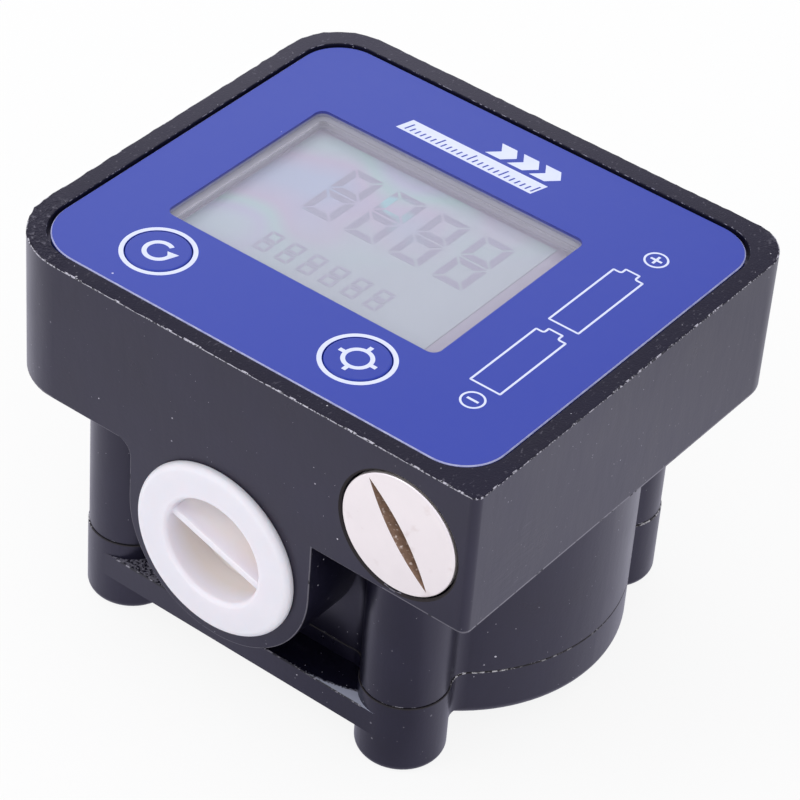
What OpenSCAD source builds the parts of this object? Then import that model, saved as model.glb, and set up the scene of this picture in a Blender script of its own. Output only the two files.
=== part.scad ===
// Oval gear flow meter with a battery powered display head.
// +Z is up, -Y is the side with the capped port and the battery plug.
// The origin is the bottom centre of the whole part, level with its four feet.

/* [Head] */
// Width of the display head
head_w = 90; // [88:0.5:104]
// Height of the display head
head_h = 24.9; // [24.4:0.1:32]
// Radius of its front left upright corner
head_big_r = 12.2; // [8:0.1:13]
// Radius of its back left upright corner
head_r = 10.4; // [5:0.1:11]
// Radius of its back right upright corner
head_small_r = 7.3; // [4:0.1:10]
// Radius of the upright corner beside the battery plug
sharp_r = 2.5; // [1:0.1:5]

/* [Display panel] */
// Width of the rim left of the panel
rim_left = 3.1; // [2.4:0.1:4.5]
// Width of the rim right of the panel
rim_right = 3; // [2.4:0.1:5]
// Width of the rim in front of the panel
rim_front = 2.9; // [2.4:0.1:4.5]
// Width of the rim behind the panel
rim_back = 3.4; // [2.4:0.1:4.5]
// Depth of the panel's face below the rim
panel_drop = 0.35; // [0.2:0.05:1.5]
// Gap round the panel
panel_gap = 0.45; // [0.1:0.05:0.6]
// Thickness of the printed panel
panel_t = 1; // [0.8:0.1:1.5]
// Radius of the panel's front left corner
panel_big_r = 9.1; // [4:0.1:11]
// Radius of the panel's other corners
panel_r = 7.4; // [4:0.1:9]
// Thickness of the adhesive gasket under the panel
gasket_t = 0.3; // [0.2:0.05:0.6]
// Border of the panel left of the window
window_left = 11.8; // [8:0.1:16]
// Border of the panel right of the window, over the batteries
window_right = 21.1; // [21:0.1:26]
// Border of the panel in front of the window, round the buttons
window_front = 18.8; // [17:0.1:24]
// Border of the panel behind the window
window_back = 17.8; // [8:0.1:24]
// Radius of the window's corners
window_r = 1.6; // [0.5:0.1:3]
// Thickness of the clear window pane
pane_t = 1.2; // [0.8:0.1:1.4]

/* [Buttons] */
// Radius of a button
button_r = 4.98; // [4:0.02:5.1]
// Gap round a button
button_gap = 0.12; // [0.08:0.01:0.2]
// Place of the reset button from the panel's left edge
reset_in = 17.65; // [10:0.05:20]
// Place of the calibration button from the panel's right edge
cal_in = 28.7; // [28:0.1:40]
// Place of both buttons from the panel's front edge
button_in = 10.6; // [9:0.1:11]
// Travel of a button
button_travel = 0.5; // [0.3:0.05:0.6]

/* [Ports] */
// Radius of the port bores, for a half inch pipe thread
port_r = 10.5; // [9:0.1:10.8]
// Depth of the port bores
port_depth = 17; // [14:0.5:20]
// Height of the port axis below the head
port_drop = 10.3; // [9:0.1:12]
// Radius and half width of the lug round a port
lug_r = 17.3; // [15.6:0.1:18]
// Fillet between the lug and the head
lug_fillet = 2.7; // [1:0.1:4]
// Radius of the passage between a port and the chamber
passage_r = 5.2; // [3:0.1:5.4]
// Edge broken at the mouth of the port bores
port_edge = 0.6; // [0.3:0.1:1]

/* [Measuring chamber] */
// Distance between the two gear shafts
gear_centres = 32; // [30:0.1:32.4]
// Ovalness of the gears
gear_e = 0.23; // [0.15:0.01:0.24]
// Number of teeth on each gear, four times a whole number plus two
gear_teeth = 30; // [22:4:34]
// Depth of a tooth
tooth_h = 2.1; // [1.4:0.1:2.4]
// Clearance of the tooth tips from the pitch oval
tip_gap = 0.1; // [0.05:0.01:0.2]
// Running clearance round the gears
chamber_gap = 0.2; // [0.12:0.01:0.3]
// Running clearance above and below the gears
end_gap = 0.2; // [0.1:0.01:0.3]
// Thickness of metal between the chamber and the head
roof_t = 4.1; // [3.6:0.1:8]
// Radius of the gear shafts
shaft_r = 3; // [2:0.1:3.5]
// Length of a shaft held in the body and in the cover
shaft_seat = 5; // [3:0.1:6]
// Outer radius of the bushes
bush_r = 5; // [4.2:0.1:6]

/* [Lower housing] */
// Height of the housing between the cover and the head
lower_h = 28.1; // [27.8:0.1:34]
// Distance of its two round ends inside the gear shafts
lobe_in = 1.6; // [0.5:0.1:2]
// Width of metal outside the chamber seal
seal_wall = 3.82; // [3:0.02:5]
// Distance of the bolt bosses outside the round ends
boss_out = 2.18; // [1:0.02:4]
// Turn of the bolt bosses round the round ends, in degrees
boss_turn = 65.29; // [60:0.01:70]
// Radius of the bosses on the body
boss_r = 6.87; // [6:0.01:7.4]
// Fillet between a boss and the round end
boss_fillet = 3; // [1.5:0.1:4]

/* [Bottom cover] */
// Height of the cover with its feet
cover_h = 13.4; // [12.4:0.1:18]
// Thickness of the cover plate
plate_t = 9; // [8.4:0.1:11]
// Radius of the cover's bosses and feet
foot_r = 7.05; // [6.4:0.05:7.4]
// Roundness of the plate's lower edge
plate_edge = 1.8; // [0.5:0.1:3]
// Roundness of a foot's lower edge
foot_edge = 1.4; // [0.3:0.1:1.8]
// Depth of the ledge below the parting line
ledge_drop = 2.8; // [1:0.1:4]
// Thickness of the ledge between two bosses
ledge_t = 4.4; // [2:0.1:4.4]
// Thickness of the chamber seal
seal_t = 1.5; // [1.2:0.1:2]
// Width of metal between the chamber and the seal
seal_land = 1.4; // [1:0.1:2]

/* [Fasteners] */
// Radius of the cover screws
screw_r = 2.5; // [2:0.1:3]
// Length of the cover screws below the head
screw_l = 20; // [16:0.5:24]
// Height of a cover screw's head
screw_head_h = 5; // [4:0.1:5]
// Radius of a cover screw's head
screw_head_r = 4.2; // [3.8:0.05:4.3]
// Depth of a screw head below the foot
screw_sink = 0.6; // [0.3:0.1:1]
// Thickness of a spring washer
washer_t = 1.2; // [0.8:0.1:1.4]

/* [Batteries] */
// Radius of a battery
cell_r = 6; // [5.8:0.05:6.1]
// Length of a battery with its nub
cell_l = 30.2; // [28:0.1:36]
// Radius of a battery's nub
nub_r = 1.9; // [1.5:0.1:2.5]
// Height of a battery's nub
nub_h = 1; // [0.6:0.1:1.5]
// Metal behind the closed end of the battery bore
battery_wall = 4; // [3:0.1:8]
// Battery bore, from the right side of the head
battery_in = 12.75; // [11.5:0.05:13]
// Battery bore, below the top of the head
battery_drop = 13.7; // [13:0.1:14]
// Room for the spring between the plug and the batteries
spring_room = 4.8; // [3:0.1:8]
// Wall of the insulating sleeve
sleeve_t = 0.55; // [0.4:0.05:0.6]
// Radius of the battery plug
plug_r = 10; // [9.4:0.05:10.1]
// Thickness of the battery plug's head
plug_head = 3.4; // [3:0.1:4]
// Gap round the battery plug's head
plug_gap = 0.35; // [0.2:0.05:0.4]
// Radius of the battery plug's thread
plug_thread_r = 8.35; // [7.9:0.05:8.5]
// Length of the battery plug's thread
plug_thread_l = 5.2; // [4:0.1:6]
// Width of the saw slot
slot_w = 2.5; // [1:0.1:2.6]
// Length of the saw slot
slot_l = 18.7; // [12:0.1:18.8]
// Depth of the saw slot
slot_h = 2.3; // [1:0.1:2.6]
// Turn of the saw slot on its face, in degrees
slot_turn = -52.5; // [-90:0.5:90]

/* [Port cap] */
// Radius of the cap's flange
cap_r = 14.75; // [13:0.05:15.5]
// Thickness of the flange
cap_flange = 1.6; // [1:0.1:3]
// Roundness of the flange's edge
cap_edge = 1.1; // [0.4:0.1:1.4]
// Length of the skirt inside the port
cap_skirt = 11; // [8:0.5:13]
// Clearance between the skirt and the port
cap_gap = 0.25; // [0.15:0.01:0.4]
// Radius of the recess
cap_recess_r = 8.85; // [7:0.05:8.9]
// Depth of the recess
cap_recess = 7; // [4:0.1:9]
// Thickness of the finger bar
cap_bar = 1.3; // [0.8:0.1:3]
// Turn of the finger bar on its face, in degrees
cap_turn = -17.6; // [-90:0.1:90]

/* [Hidden] */
$fn = 96;
// Overrun of every cut past the face that it opens
over = 0.5;
// Clearance of threads and other close fits, which are drawn plain
fit_gap = 0.05;

// Ring, contact and sleeve in the battery bore, which sets the depth of the head
ring_d = 1.4;
sleeve_end_t = 0.4;
contact_t = 0.4;
head_d = plug_head + ring_d + plug_thread_l + spring_room + 2 * cell_l
    + contact_t + sleeve_end_t + battery_wall;

// Heights
chamber_h = lower_h - roof_t;
head_z = cover_h + lower_h;
total_h = head_z + head_h;
port_z = head_z - port_drop;
plate_z = cover_h - plate_t;
ceiling_z = cover_h + chamber_h;
battery_z = total_h - battery_drop;

// The cap's flange stands proud of the front, so the housing sits behind the origin by half of it
mid_y = cap_flange / 2;
front_y = -head_d / 2;
back_y = head_d / 2;

// Panel and window
panel_top = total_h - panel_drop;
panel_z = panel_top - panel_t;
ledge_z = panel_z - gasket_t;
pane_z = panel_z - pane_t;
panel_x0 = -head_w / 2 + rim_left;
panel_x1 = head_w / 2 - rim_right;
panel_y0 = front_y + rim_front;
panel_y1 = back_y - rim_back;
window_x0 = panel_x0 + window_left;
window_x1 = panel_x1 - window_right;
window_y0 = panel_y0 + window_front;
window_y1 = panel_y1 - window_back;
// Rims of the pane, of the display glass and of its frame beyond the window
pane_rim = 2;
glass_rim = 1.2;
frame_rim = 2.4;

// Display stack below the pane
frame_lip = 0.8;
glass_t = 2.8;
strip_h = 2.25;
strip_w = 1.8;
board_t = 1.6;
glass_z = pane_z - frame_lip - glass_t;
board_top = glass_z - strip_h;
board_z = board_top - board_t;
cavity_r = 4;
floor_t = 4.5;
cavity_floor = head_z + floor_t;
seat_w = 3;
frame_gap = 0.2;
cavity_x0 = panel_x0 + seat_w;
cavity_x1 = window_x1 + frame_rim + frame_gap;
cavity_y0 = panel_y0 + seat_w;
cavity_y1 = panel_y1 - seat_w;
board_gap = 1;
board_x0 = cavity_x0 + board_gap;
board_x1 = cavity_x1 - board_gap;
board_y0 = cavity_y0 + board_gap;
board_y1 = cavity_y1 - board_gap;
pillar_r = 2.8;
board_screw_r = 1.2;
board_screw_l = 6;
board_screw_head_r = 2.2;
board_screw_head_h = 1.5;
pillar_inset = 3.2;

// Places of the board pillars
pillar_xs = [board_x0 + pillar_inset, board_x1 - pillar_inset];
pillar_ys = [board_y0 + pillar_inset, board_y1 - pillar_inset];

// Gears, on a pitch oval whose longest and shortest radius add up to the distance of the shafts
oval_a = gear_centres / 2;
long_r = oval_a * (1 + gear_e);
chamber_r = long_r + chamber_gap;
lobe_x = oval_a - lobe_in;
oval_steps = 360;
run_gap = 0.1;
magnet_r = 2;
magnet_h = 3;
magnet_wall = 1.2;
magnet_at = oval_a - magnet_wall - magnet_r;
// Outline of one tooth as shares of the pitch along the oval and of the tooth's depth
tooth_shares = [
    [-0.37, 1], [-0.28, 0.62], [-0.21, 0.2], [-0.13, 0],
    [0.13, 0], [0.21, 0.2], [0.28, 0.62], [0.37, 1]
];

// Seal groove round the chamber
seal_gap = 0.15;
seal_r = lobe_in + chamber_r + seal_land + seal_t / 2;

// Round ends of the housing and the bolt bosses round them
lobe_r = seal_r + seal_t / 2 + seal_wall;
boss_x = lobe_x + (lobe_r + boss_out) * cos(boss_turn);
boss_y = (lobe_r + boss_out) * sin(boss_turn);
// How far the fillets reach into the round shapes that they join, so that they cross them
web_bite = 0.002;

// Cover screws
seat_z = screw_sink + screw_head_h + washer_t;
head_room = 0.25;
shank_room = 0.25;
tip_room = 2;
socket_share = 0.6;

// Battery chain, from the closed end of the bore to the plug
sleeve_gap = 0.1;
contact_w = 3;
contact_rim = 0.6;
cell_gap = 0.2;
battery_x = head_w / 2 - battery_in;
bore_end = back_y - battery_wall;
sleeve_r = cell_r + cell_gap + sleeve_t;
contact_y = bore_end - sleeve_end_t - contact_t;
front_cell_y = contact_y - 2 * cell_l;
contact_gap = 0.5;
contact_reach = 9.8;
contact_x = cavity_x1 - contact_gap - contact_t;
contact_foot_y = cavity_y1 - contact_reach;
contact_foot_w = 2;
slot_room = 0.5;
groove_room = 0.3;

// Battery plug and its seal ring
thread_room = 0.8;
plug_seat_y = front_y + plug_head + ring_d;
plug_end_y = plug_seat_y + plug_thread_l;
thread_end_y = plug_end_y + thread_room;
spring_pocket = 3.4;
spring_wire = 0.4;
spring_front_r = 4.4;
spring_back_r = 2.6;
spring_turns = 5;
turn_steps = 14;
wire_sides = 6;
cutter_r = (slot_l * slot_l / 4 + slot_h * slot_h) / (2 * slot_h);

// Port cap
cap_floor = 1.5;
cap_mouth = 0.8;
bar_drop = 0.4;

// Button stack
reset_x = panel_x0 + reset_in;
cal_x = panel_x1 - cal_in;
button_y = panel_y0 + button_in;
button_rise = 0.1;
button_flange_t = 0.8;
button_flange = 0.44;
stem_r = 1.8;
stem_l = 1.2;
switch_w = 6;
switch_h = 3.5;
plunger_r = 1.7;
plunger_l = 2.7;
plunger_gap = 0.15;
plunger_room = 0.5;
button_z = panel_z - fit_gap - button_flange_t;
plunger_top = button_z - stem_l;
switch_bore = plunger_l - (plunger_top - board_top - switch_h) + button_travel + plunger_room;

// Parts on the underside of the board and over the gear
chip_w = 10;
chip_t = 1.4;
chip_place = [-14, 14];
quartz_r = 2.3;
quartz_l = 6.4;
quartz_t = 3.4;
quartz_place = [-14, -12];
sensor_r = 1.3;
sensor_l = 14;
lead_r = 0.3;
lead_reach = 2.5;

// Colours
black_paint = [0.1, 0.1, 0.115];
panel_blue = [0.2, 0.22, 0.62];
nylon_white = [0.93, 0.91, 0.92];
nickel = [0.86, 0.83, 0.81];
steel = [0.62, 0.63, 0.65];
rubber_black = [0.05, 0.05, 0.05];
gear_grey = [0.3, 0.31, 0.33];
carbon = [0.13, 0.13, 0.13];
lcd_grey = [0.66, 0.71, 0.7];
frame_grey = [0.6, 0.61, 0.62];
clear = [0.85, 0.9, 0.92, 0.35];
board_green = [0.07, 0.3, 0.16];
cell_jacket = [0.75, 0.55, 0.15];
sleeve_blue = [0.55, 0.66, 0.78];

// Puts the whole part over the origin
module placed() translate([0, mid_y, 0]) children();

// Copies something into all four quarters of the plan
module four() for (sx = [0, 1], sy = [0, 1]) mirror([sx, 0, 0]) mirror([0, sy, 0]) children();

// Upright piece of a plan outline between two heights
module slab(z0, z1) translate([0, 0, z0]) linear_extrude(height = z1 - z0) children();

// Round rod along the depth between two places
module rod_y(r, y0, y1, x, z) translate([x, y1, z]) rotate([90, 0, 0]) cylinder(r = r, h = y1 - y0);

// Box between two corners
module box(a, b) translate(a) cube(b - a);

// Turns a piece drawn upright so that its top faces the front, with its base plane on the front
module facing_front(x, z) translate([x, front_y, z]) rotate([90, 0, 0]) children();

// What a sharp corner loses when it is rounded
module corner_cut(r) difference() {
    translate([-over, -over]) square(r + over);
    translate([r, r]) circle(r);
}

// Rectangle with its own radius at the front left, front right, back right and back left corner
module corner_rect(x0, x1, y0, y1, radii) {
    corners = [[x0, y0], [x1, y0], [x1, y1], [x0, y1]];
    difference() {
        translate([x0, y0]) square([x1 - x0, y1 - y0]);
        for (i = [0:3]) translate(corners[i]) rotate(i * 90) corner_cut(radii[i]);
    }
}

module head_outline() corner_rect(
    -head_w / 2, head_w / 2, front_y, back_y, [head_big_r, sharp_r, head_small_r, head_r]
);

module panel_outline(gap) corner_rect(
    panel_x0 + gap, panel_x1 - gap, panel_y0 + gap, panel_y1 - gap,
    [panel_big_r, panel_r, panel_r, panel_r]
);

module window_outline(rim) corner_rect(
    window_x0 - rim, window_x1 + rim, window_y0 - rim, window_y1 + rim,
    [window_r, window_r, window_r, window_r]
);

module cavity_outline() corner_rect(
    cavity_x0, cavity_x1, cavity_y0, cavity_y1, [cavity_r, cavity_r, cavity_r, cavity_r]
);

module stadium(x, r) {
    for (s = [-1, 1]) translate([s * x, 0]) circle(r);
    square([2 * x, 2 * r], center = true);
}

// Centre of the circle of radius rf that touches two others from outside
function fillet_centre(c0, r0, c1, r1, side) =
    let (d = norm(c1 - c0), u = (c1 - c0) / d, a = (r0 * r0 - r1 * r1 + d * d) / (2 * d))
    c0 + a * u + side * sqrt(r0 * r0 - a * a) * [-u.y, u.x];

// Metal between a round end and a boss, with a fillet on both sides
module web(r, rf) {
    lobe = [lobe_x, 0];
    boss = [boss_x, boss_y];
    for (side = [-1, 1]) {
        c = fillet_centre(lobe, lobe_r + rf - web_bite, boss, r + rf - web_bite, side);
        difference() {
            polygon([lobe, boss, c]);
            translate(c) circle(rf);
        }
    }
}

module boss_outline(r) four() {
    translate([boss_x, boss_y]) circle(r);
    web(r, boss_fillet);
}

// Lug round a port, seen along the port, with its fillet against the head
module lug_outline() {
    circle(lug_r);
    translate([-lug_r, 0]) square([2 * lug_r, port_drop + over]);
    difference() {
        translate([-lug_r - lug_fillet, port_drop - lug_fillet]) square(lug_fillet + over);
        translate([-lug_r - lug_fillet, port_drop - lug_fillet]) circle(lug_fillet);
    }
}

module chamber_outline() for (s = [-1, 1]) translate([s * oval_a, 0]) circle(chamber_r);

module at_shafts() for (s = [-1, 1]) translate([s * oval_a, 0, 0]) children();

module port_bore() {
    rod_y(port_r, front_y - over, front_y + port_depth, 0, port_z);
    rod_y(passage_r, front_y, 0, 0, port_z);
    facing_front(0, port_z) translate([0, 0, -port_edge]) cylinder(
        r1 = port_r, r2 = port_r + port_edge + over, h = port_edge + over
    );
}

module battery_bore() {
    rod_y(sleeve_r + sleeve_gap, thread_end_y - over, bore_end, battery_x, battery_z);
    rod_y(plug_thread_r + fit_gap, plug_seat_y - over, thread_end_y, battery_x, battery_z);
    rod_y(plug_r + plug_gap, front_y - over, plug_seat_y, battery_x, battery_z);
}

// Opening through which the rear contact reaches the board, with a groove for it in the cavity's corner
module contact_slot() slab(battery_z - contact_w / 2 - slot_room, battery_z + contact_w / 2 + slot_room) {
    translate([contact_x - slot_room, cavity_y1 - slot_room]) {
        square([battery_x - cell_r + 2 * slot_room - contact_x, bore_end - cavity_y1 + slot_room]);
    }
    translate([contact_x - groove_room, cavity_y1 - cavity_r + over]) {
        square([contact_t + 2 * groove_room, cavity_r - over]);
    }
}

module meter_body() placed() color(black_paint) {
    tip_z = seat_z - washer_t + screw_l;
    difference() {
        union() {
            slab(head_z, total_h) head_outline();
            slab(cover_h, head_z + over) {
                stadium(lobe_x, lobe_r);
                boss_outline(boss_r);
            }
            translate([0, back_y, port_z]) rotate([90, 0, 0]) linear_extrude(height = head_d) lug_outline();
        }
        slab(ledge_z, total_h + over) panel_outline(0);
        difference() {
            slab(cavity_floor, ledge_z + over) cavity_outline();
            for (x = pillar_xs, y = pillar_ys) translate([x, y, 0]) cylinder(r = pillar_r, h = board_z);
        }
        slab(cover_h - over, ceiling_z) chamber_outline();
        at_shafts() slab(ceiling_z - over, ceiling_z + shaft_seat) circle(shaft_r + fit_gap);
        port_bore();
        mirror([0, 1, 0]) port_bore();
        battery_bore();
        contact_slot();
        four() translate([boss_x, boss_y, cover_h - over]) cylinder(
            r = screw_r + fit_gap, h = tip_z + tip_room - cover_h + over
        );
        for (x = pillar_xs, y = pillar_ys) translate([x, y, board_top - board_screw_l - over]) cylinder(
            r = board_screw_r + fit_gap, h = board_screw_l
        );
    }
}

// Half of an upright block's section, with its lower edge rounded
module round_section(r, h, edge) {
    translate([0, edge]) square([r, h - edge]);
    square([r - edge, h]);
    translate([r - edge, edge]) circle(edge);
}

// Plate with two round ends and a rounded lower edge
module round_stadium(x, r, h, edge) {
    for (s = [0, 180]) rotate(s) {
        translate([x, 0, 0]) rotate(-90) rotate_extrude(angle = 180) round_section(r, h, edge);
    }
    translate([-x, 0, 0]) rotate([90, 0, 90]) linear_extrude(height = 2 * x) {
        round_section(r, h, edge);
        mirror([1, 0]) round_section(r, h, edge);
    }
}

module bottom_cover() placed() color(black_paint) {
    ledge_top = cover_h - ledge_drop;
    difference() {
        union() {
            translate([0, 0, plate_z]) round_stadium(lobe_x, lobe_r, plate_t, plate_edge);
            four() translate([boss_x, boss_y, 0]) rotate_extrude() round_section(foot_r, cover_h, foot_edge);
            slab(plate_z + plate_edge, cover_h) four() web(foot_r, boss_fillet);
            for (s = [0, 180]) rotate(s) box(
                [-boss_x, -boss_y - foot_r, ledge_top - ledge_t], [boss_x, -lobe_r + over, ledge_top]
            );
        }
        slab(cover_h - seal_t, cover_h + over) difference() {
            stadium(lobe_x, seal_r + seal_t / 2 + seal_gap);
            stadium(lobe_x, seal_r - seal_t / 2 - seal_gap);
        }
        at_shafts() slab(cover_h - shaft_seat, cover_h + over) circle(shaft_r + fit_gap);
        four() translate([boss_x, boss_y, -over]) {
            cylinder(r = screw_r + shank_room, h = cover_h + 2 * over);
            cylinder(r = screw_head_r + head_room, h = seat_z + over);
        }
    }
}

module chamber_seal() placed() color(rubber_black) translate([0, 0, cover_h - seal_t / 2]) {
    for (s = [0, 180]) rotate(s) {
        translate([lobe_x, 0, 0]) rotate(-90) rotate_extrude(angle = 180) {
            translate([seal_r, 0]) circle(seal_t / 2);
        }
        translate([-lobe_x, seal_r, 0]) rotate([90, 0, 90]) cylinder(r = seal_t / 2, h = 2 * lobe_x);
    }
}

module cover_screws() placed() color(steel) four() translate([boss_x, boss_y, screw_sink]) difference() {
    union() {
        cylinder(r = screw_head_r, h = screw_head_h);
        cylinder(r = screw_r, h = screw_head_h + screw_l);
    }
    translate([0, 0, -over]) cylinder(
        r = screw_head_r * socket_share, h = screw_head_h * socket_share + over, $fn = 6
    );
}

module screw_washers() placed() color(steel) four() translate([boss_x, boss_y, 0]) {
    slab(seat_z - washer_t, seat_z) difference() {
        circle(screw_head_r);
        circle(screw_r + shank_room);
    }
}

module gear_shafts() placed() color(steel) at_shafts() slab(cover_h - shaft_seat, ceiling_z + shaft_seat) {
    circle(shaft_r);
}

// Pitch oval: its points, the length along it up to each point, and the angle at a given length
function oval_point(t) = oval_a * (1 - gear_e * gear_e) / (1 - gear_e * cos(2 * t)) * [cos(t), sin(t)];
function oval_step(i) = norm(oval_point((i + 1) * 360 / oval_steps) - oval_point(i * 360 / oval_steps));
oval_table = [
    for (i = 0, s = 0; i <= oval_steps; s = s + oval_step(i), i = i + 1) [s, i * 360 / oval_steps]
];
pitch = oval_table[oval_steps][0] / gear_teeth;
function oval_angle(s) = lookup(s < 0 ? s + pitch * gear_teeth : s, oval_table);
// Point a given length along the oval and a given depth inside it
function tooth_point(s, depth) =
    let (
        t = oval_angle(s), half_step = 180 / oval_steps,
        along = oval_point(t + half_step) - oval_point(t - half_step), u = along / norm(along)
    )
    oval_point(t) - depth * [u.y, -u.x];

module gear_outline() polygon([
    for (i = [0:gear_teeth - 1], p = tooth_shares) tooth_point((i + p[0]) * pitch, tip_gap + p[1] * tooth_h)
]);

// Gear whose long axis is across at no turn
module gear() slab(cover_h + end_gap, ceiling_z - end_gap) difference() {
    gear_outline();
    circle(bush_r + fit_gap);
}

module bush() slab(cover_h + end_gap / 2, ceiling_z - end_gap / 2) difference() {
    circle(bush_r);
    circle(shaft_r + run_gap);
}

module at_magnets() for (s = [-1, 1]) translate([s * magnet_at - oval_a, 0, ceiling_z - end_gap - magnet_h]) {
    children();
}

module left_gear() placed() color(gear_grey) difference() {
    translate([-oval_a, 0, 0]) gear();
    at_magnets() cylinder(r = magnet_r + fit_gap, h = magnet_h + over);
}

module left_bush() placed() color(carbon) translate([-oval_a, 0, 0]) bush();

module gear_magnets() placed() color(nickel) at_magnets() cylinder(r = magnet_r, h = magnet_h);

module right_gear() placed() color(gear_grey) translate([oval_a, 0, 0]) rotate(90) gear();

module right_bush() placed() color(carbon) translate([oval_a, 0, 0]) bush();

module front_panel() placed() color(panel_blue) slab(panel_z, panel_top) difference() {
    panel_outline(panel_gap);
    window_outline(0);
    for (x = [reset_x, cal_x]) translate([x, button_y]) circle(button_r + button_gap);
}

module panel_gasket() placed() color(rubber_black) slab(ledge_z, panel_z) difference() {
    panel_outline(panel_gap + fit_gap);
    cavity_outline();
}

module display_window() placed() color(clear) slab(pane_z, panel_z) window_outline(pane_rim);

module lcd_frame() placed() color(frame_grey) difference() {
    slab(board_top, pane_z) window_outline(frame_rim);
    slab(board_top - over, glass_z + glass_t) window_outline(glass_rim + fit_gap);
    slab(glass_z, pane_z + over) window_outline(0);
}

module lcd_glass() placed() color(lcd_grey) slab(glass_z, glass_z + glass_t) window_outline(glass_rim);

module contact_strips() placed() color(rubber_black) slab(board_top, glass_z) {
    for (y = [window_y0 - glass_rim, window_y1 + glass_rim - strip_w]) {
        translate([window_x0, y]) square([window_x1 - window_x0, strip_w]);
    }
}

module circuit_board() placed() color(board_green) slab(board_z, board_top) difference() {
    corner_rect(board_x0, board_x1, board_y0, board_y1, [cavity_r, cavity_r, cavity_r, cavity_r]);
    for (x = pillar_xs, y = pillar_ys) translate([x, y]) circle(board_screw_r + shank_room);
}

module board_screws() placed() color(steel) for (x = pillar_xs, y = pillar_ys) {
    translate([x, y, board_top - board_screw_l]) cylinder(r = board_screw_r, h = board_screw_l + fit_gap);
    translate([x, y, board_top]) cylinder(r = board_screw_head_r, h = board_screw_head_h);
}

module controller_chip() placed() color(carbon) slab(board_z - chip_t, board_z) {
    translate(chip_place) square(chip_w, center = true);
}

module quartz_can() placed() color(steel) slab(board_z - quartz_t, board_z) {
    translate(quartz_place) stadium(quartz_l / 2, quartz_r);
}

module pulse_sensor() placed() color(lcd_grey) {
    z = cavity_floor + sensor_r + fit_gap;
    reach = sensor_l / 2 + lead_reach;
    translate([magnet_at - oval_a, 0, z]) rotate([0, 90, 0]) {
        cylinder(r = sensor_r, h = sensor_l, center = true);
        cylinder(r = lead_r, h = 2 * reach, center = true);
    }
    for (s = [-1, 1]) translate([magnet_at - oval_a + s * reach, 0, z - lead_r]) {
        cylinder(r = lead_r, h = board_z - z + lead_r);
    }
}

module key_switches() placed() color(carbon) for (x = [reset_x, cal_x]) translate([x, button_y, 0]) {
    slab(board_top, board_top + switch_h - switch_bore) square(switch_w, center = true);
    slab(board_top + switch_h - switch_bore, board_top + switch_h) difference() {
        square(switch_w, center = true);
        circle(plunger_r + plunger_gap);
    }
}

module button(x) translate([x, button_y, 0]) {
    slab(button_z, panel_top + button_rise) circle(button_r);
    slab(button_z, button_z + button_flange_t) circle(button_r + button_flange);
    slab(plunger_top, button_z + button_flange_t) circle(stem_r);
}

module plunger(x) translate([x, button_y, plunger_top - plunger_l]) cylinder(r = plunger_r, h = plunger_l);

module reset_button() placed() color(panel_blue) button(reset_x);

module reset_plunger() placed() color(nylon_white) plunger(reset_x);

module cal_button() placed() color(panel_blue) button(cal_x);

module cal_plunger() placed() color(nylon_white) plunger(cal_x);

module battery_sleeve() placed() color(sleeve_blue) difference() {
    rod_y(sleeve_r, thread_end_y, bore_end, battery_x, battery_z);
    rod_y(sleeve_r - sleeve_t, thread_end_y - over, bore_end - sleeve_end_t, battery_x, battery_z);
    box(
        [battery_x - sleeve_r - over, contact_y - slot_room, battery_z - contact_w / 2 - slot_room],
        [battery_x - cell_r + over, bore_end - sleeve_end_t, battery_z + contact_w / 2 + slot_room]
    );
}

module battery(y) {
    rod_y(cell_r, y, y + cell_l - nub_h, battery_x, battery_z);
    rod_y(nub_r, y + cell_l - nub_h - over, y + cell_l, battery_x, battery_z);
}

module battery_front() placed() color(cell_jacket) battery(front_cell_y);

module battery_rear() placed() color(cell_jacket) battery(front_cell_y + cell_l);

// Disc behind the batteries, a tab through the slot, a leg along the wall and a foot under the board
module rear_contact() placed() color(nickel) {
    z0 = battery_z - contact_w / 2;
    z1 = battery_z + contact_w / 2;
    rod_y(cell_r - contact_rim, contact_y, contact_y + contact_t, battery_x, battery_z);
    box([contact_x, contact_y, z0], [battery_x, contact_y + contact_t, z1]);
    box([contact_x, contact_foot_y, z0], [contact_x + contact_t, contact_y + contact_t, z1]);
    box(
        [contact_x + contact_t - contact_foot_w, contact_foot_y, z0],
        [contact_x + contact_t, contact_foot_y + contact_t, board_z]
    );
}

// Tapering coil of round wire, wound upward round the axis
module coil(r0, r1, h, turns, wire) {
    rings = turns * turn_steps;
    points = [
        for (i = [0:rings], k = [0:wire_sides - 1]) let (
            share = i / rings, t = 360 * i / turn_steps, a = 360 * k / wire_sides,
            r = r0 + (r1 - r0) * share + wire * cos(a)
        ) [r * cos(t), r * sin(t), h * share + wire * sin(a)]
    ];
    sides = [
        for (i = [0:rings - 1], k = [0:wire_sides - 1]) let (
            a = i * wire_sides + k, b = i * wire_sides + (k + 1) % wire_sides
        ) each [[a, a + wire_sides, b], [b, a + wire_sides, b + wire_sides]]
    ];
    near_end = [for (k = [0:wire_sides - 1]) k];
    far_end = [for (k = [wire_sides - 1:-1:0]) rings * wire_sides + k];
    polyhedron(points, concat(sides, [near_end, far_end]));
}

module battery_spring() placed() color(steel) {
    y0 = plug_end_y - spring_pocket + spring_wire + fit_gap;
    y1 = front_cell_y - spring_wire - fit_gap;
    translate([battery_x, y1, battery_z]) rotate([90, 0, 0]) {
        coil(spring_back_r, spring_front_r, y1 - y0, spring_turns, spring_wire);
    }
}

// Saw cutter that sinks into the plug's face and leaves a slot with pointed ends
module saw_cut() rotate(slot_turn) translate([0, 0, cutter_r - slot_h]) rotate([90, 0, 0]) {
    half_w = slot_w / 2 * cutter_r / slot_h;
    rotate_extrude() polygon([[0, -half_w], [cutter_r, 0], [0, half_w]]);
}

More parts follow.
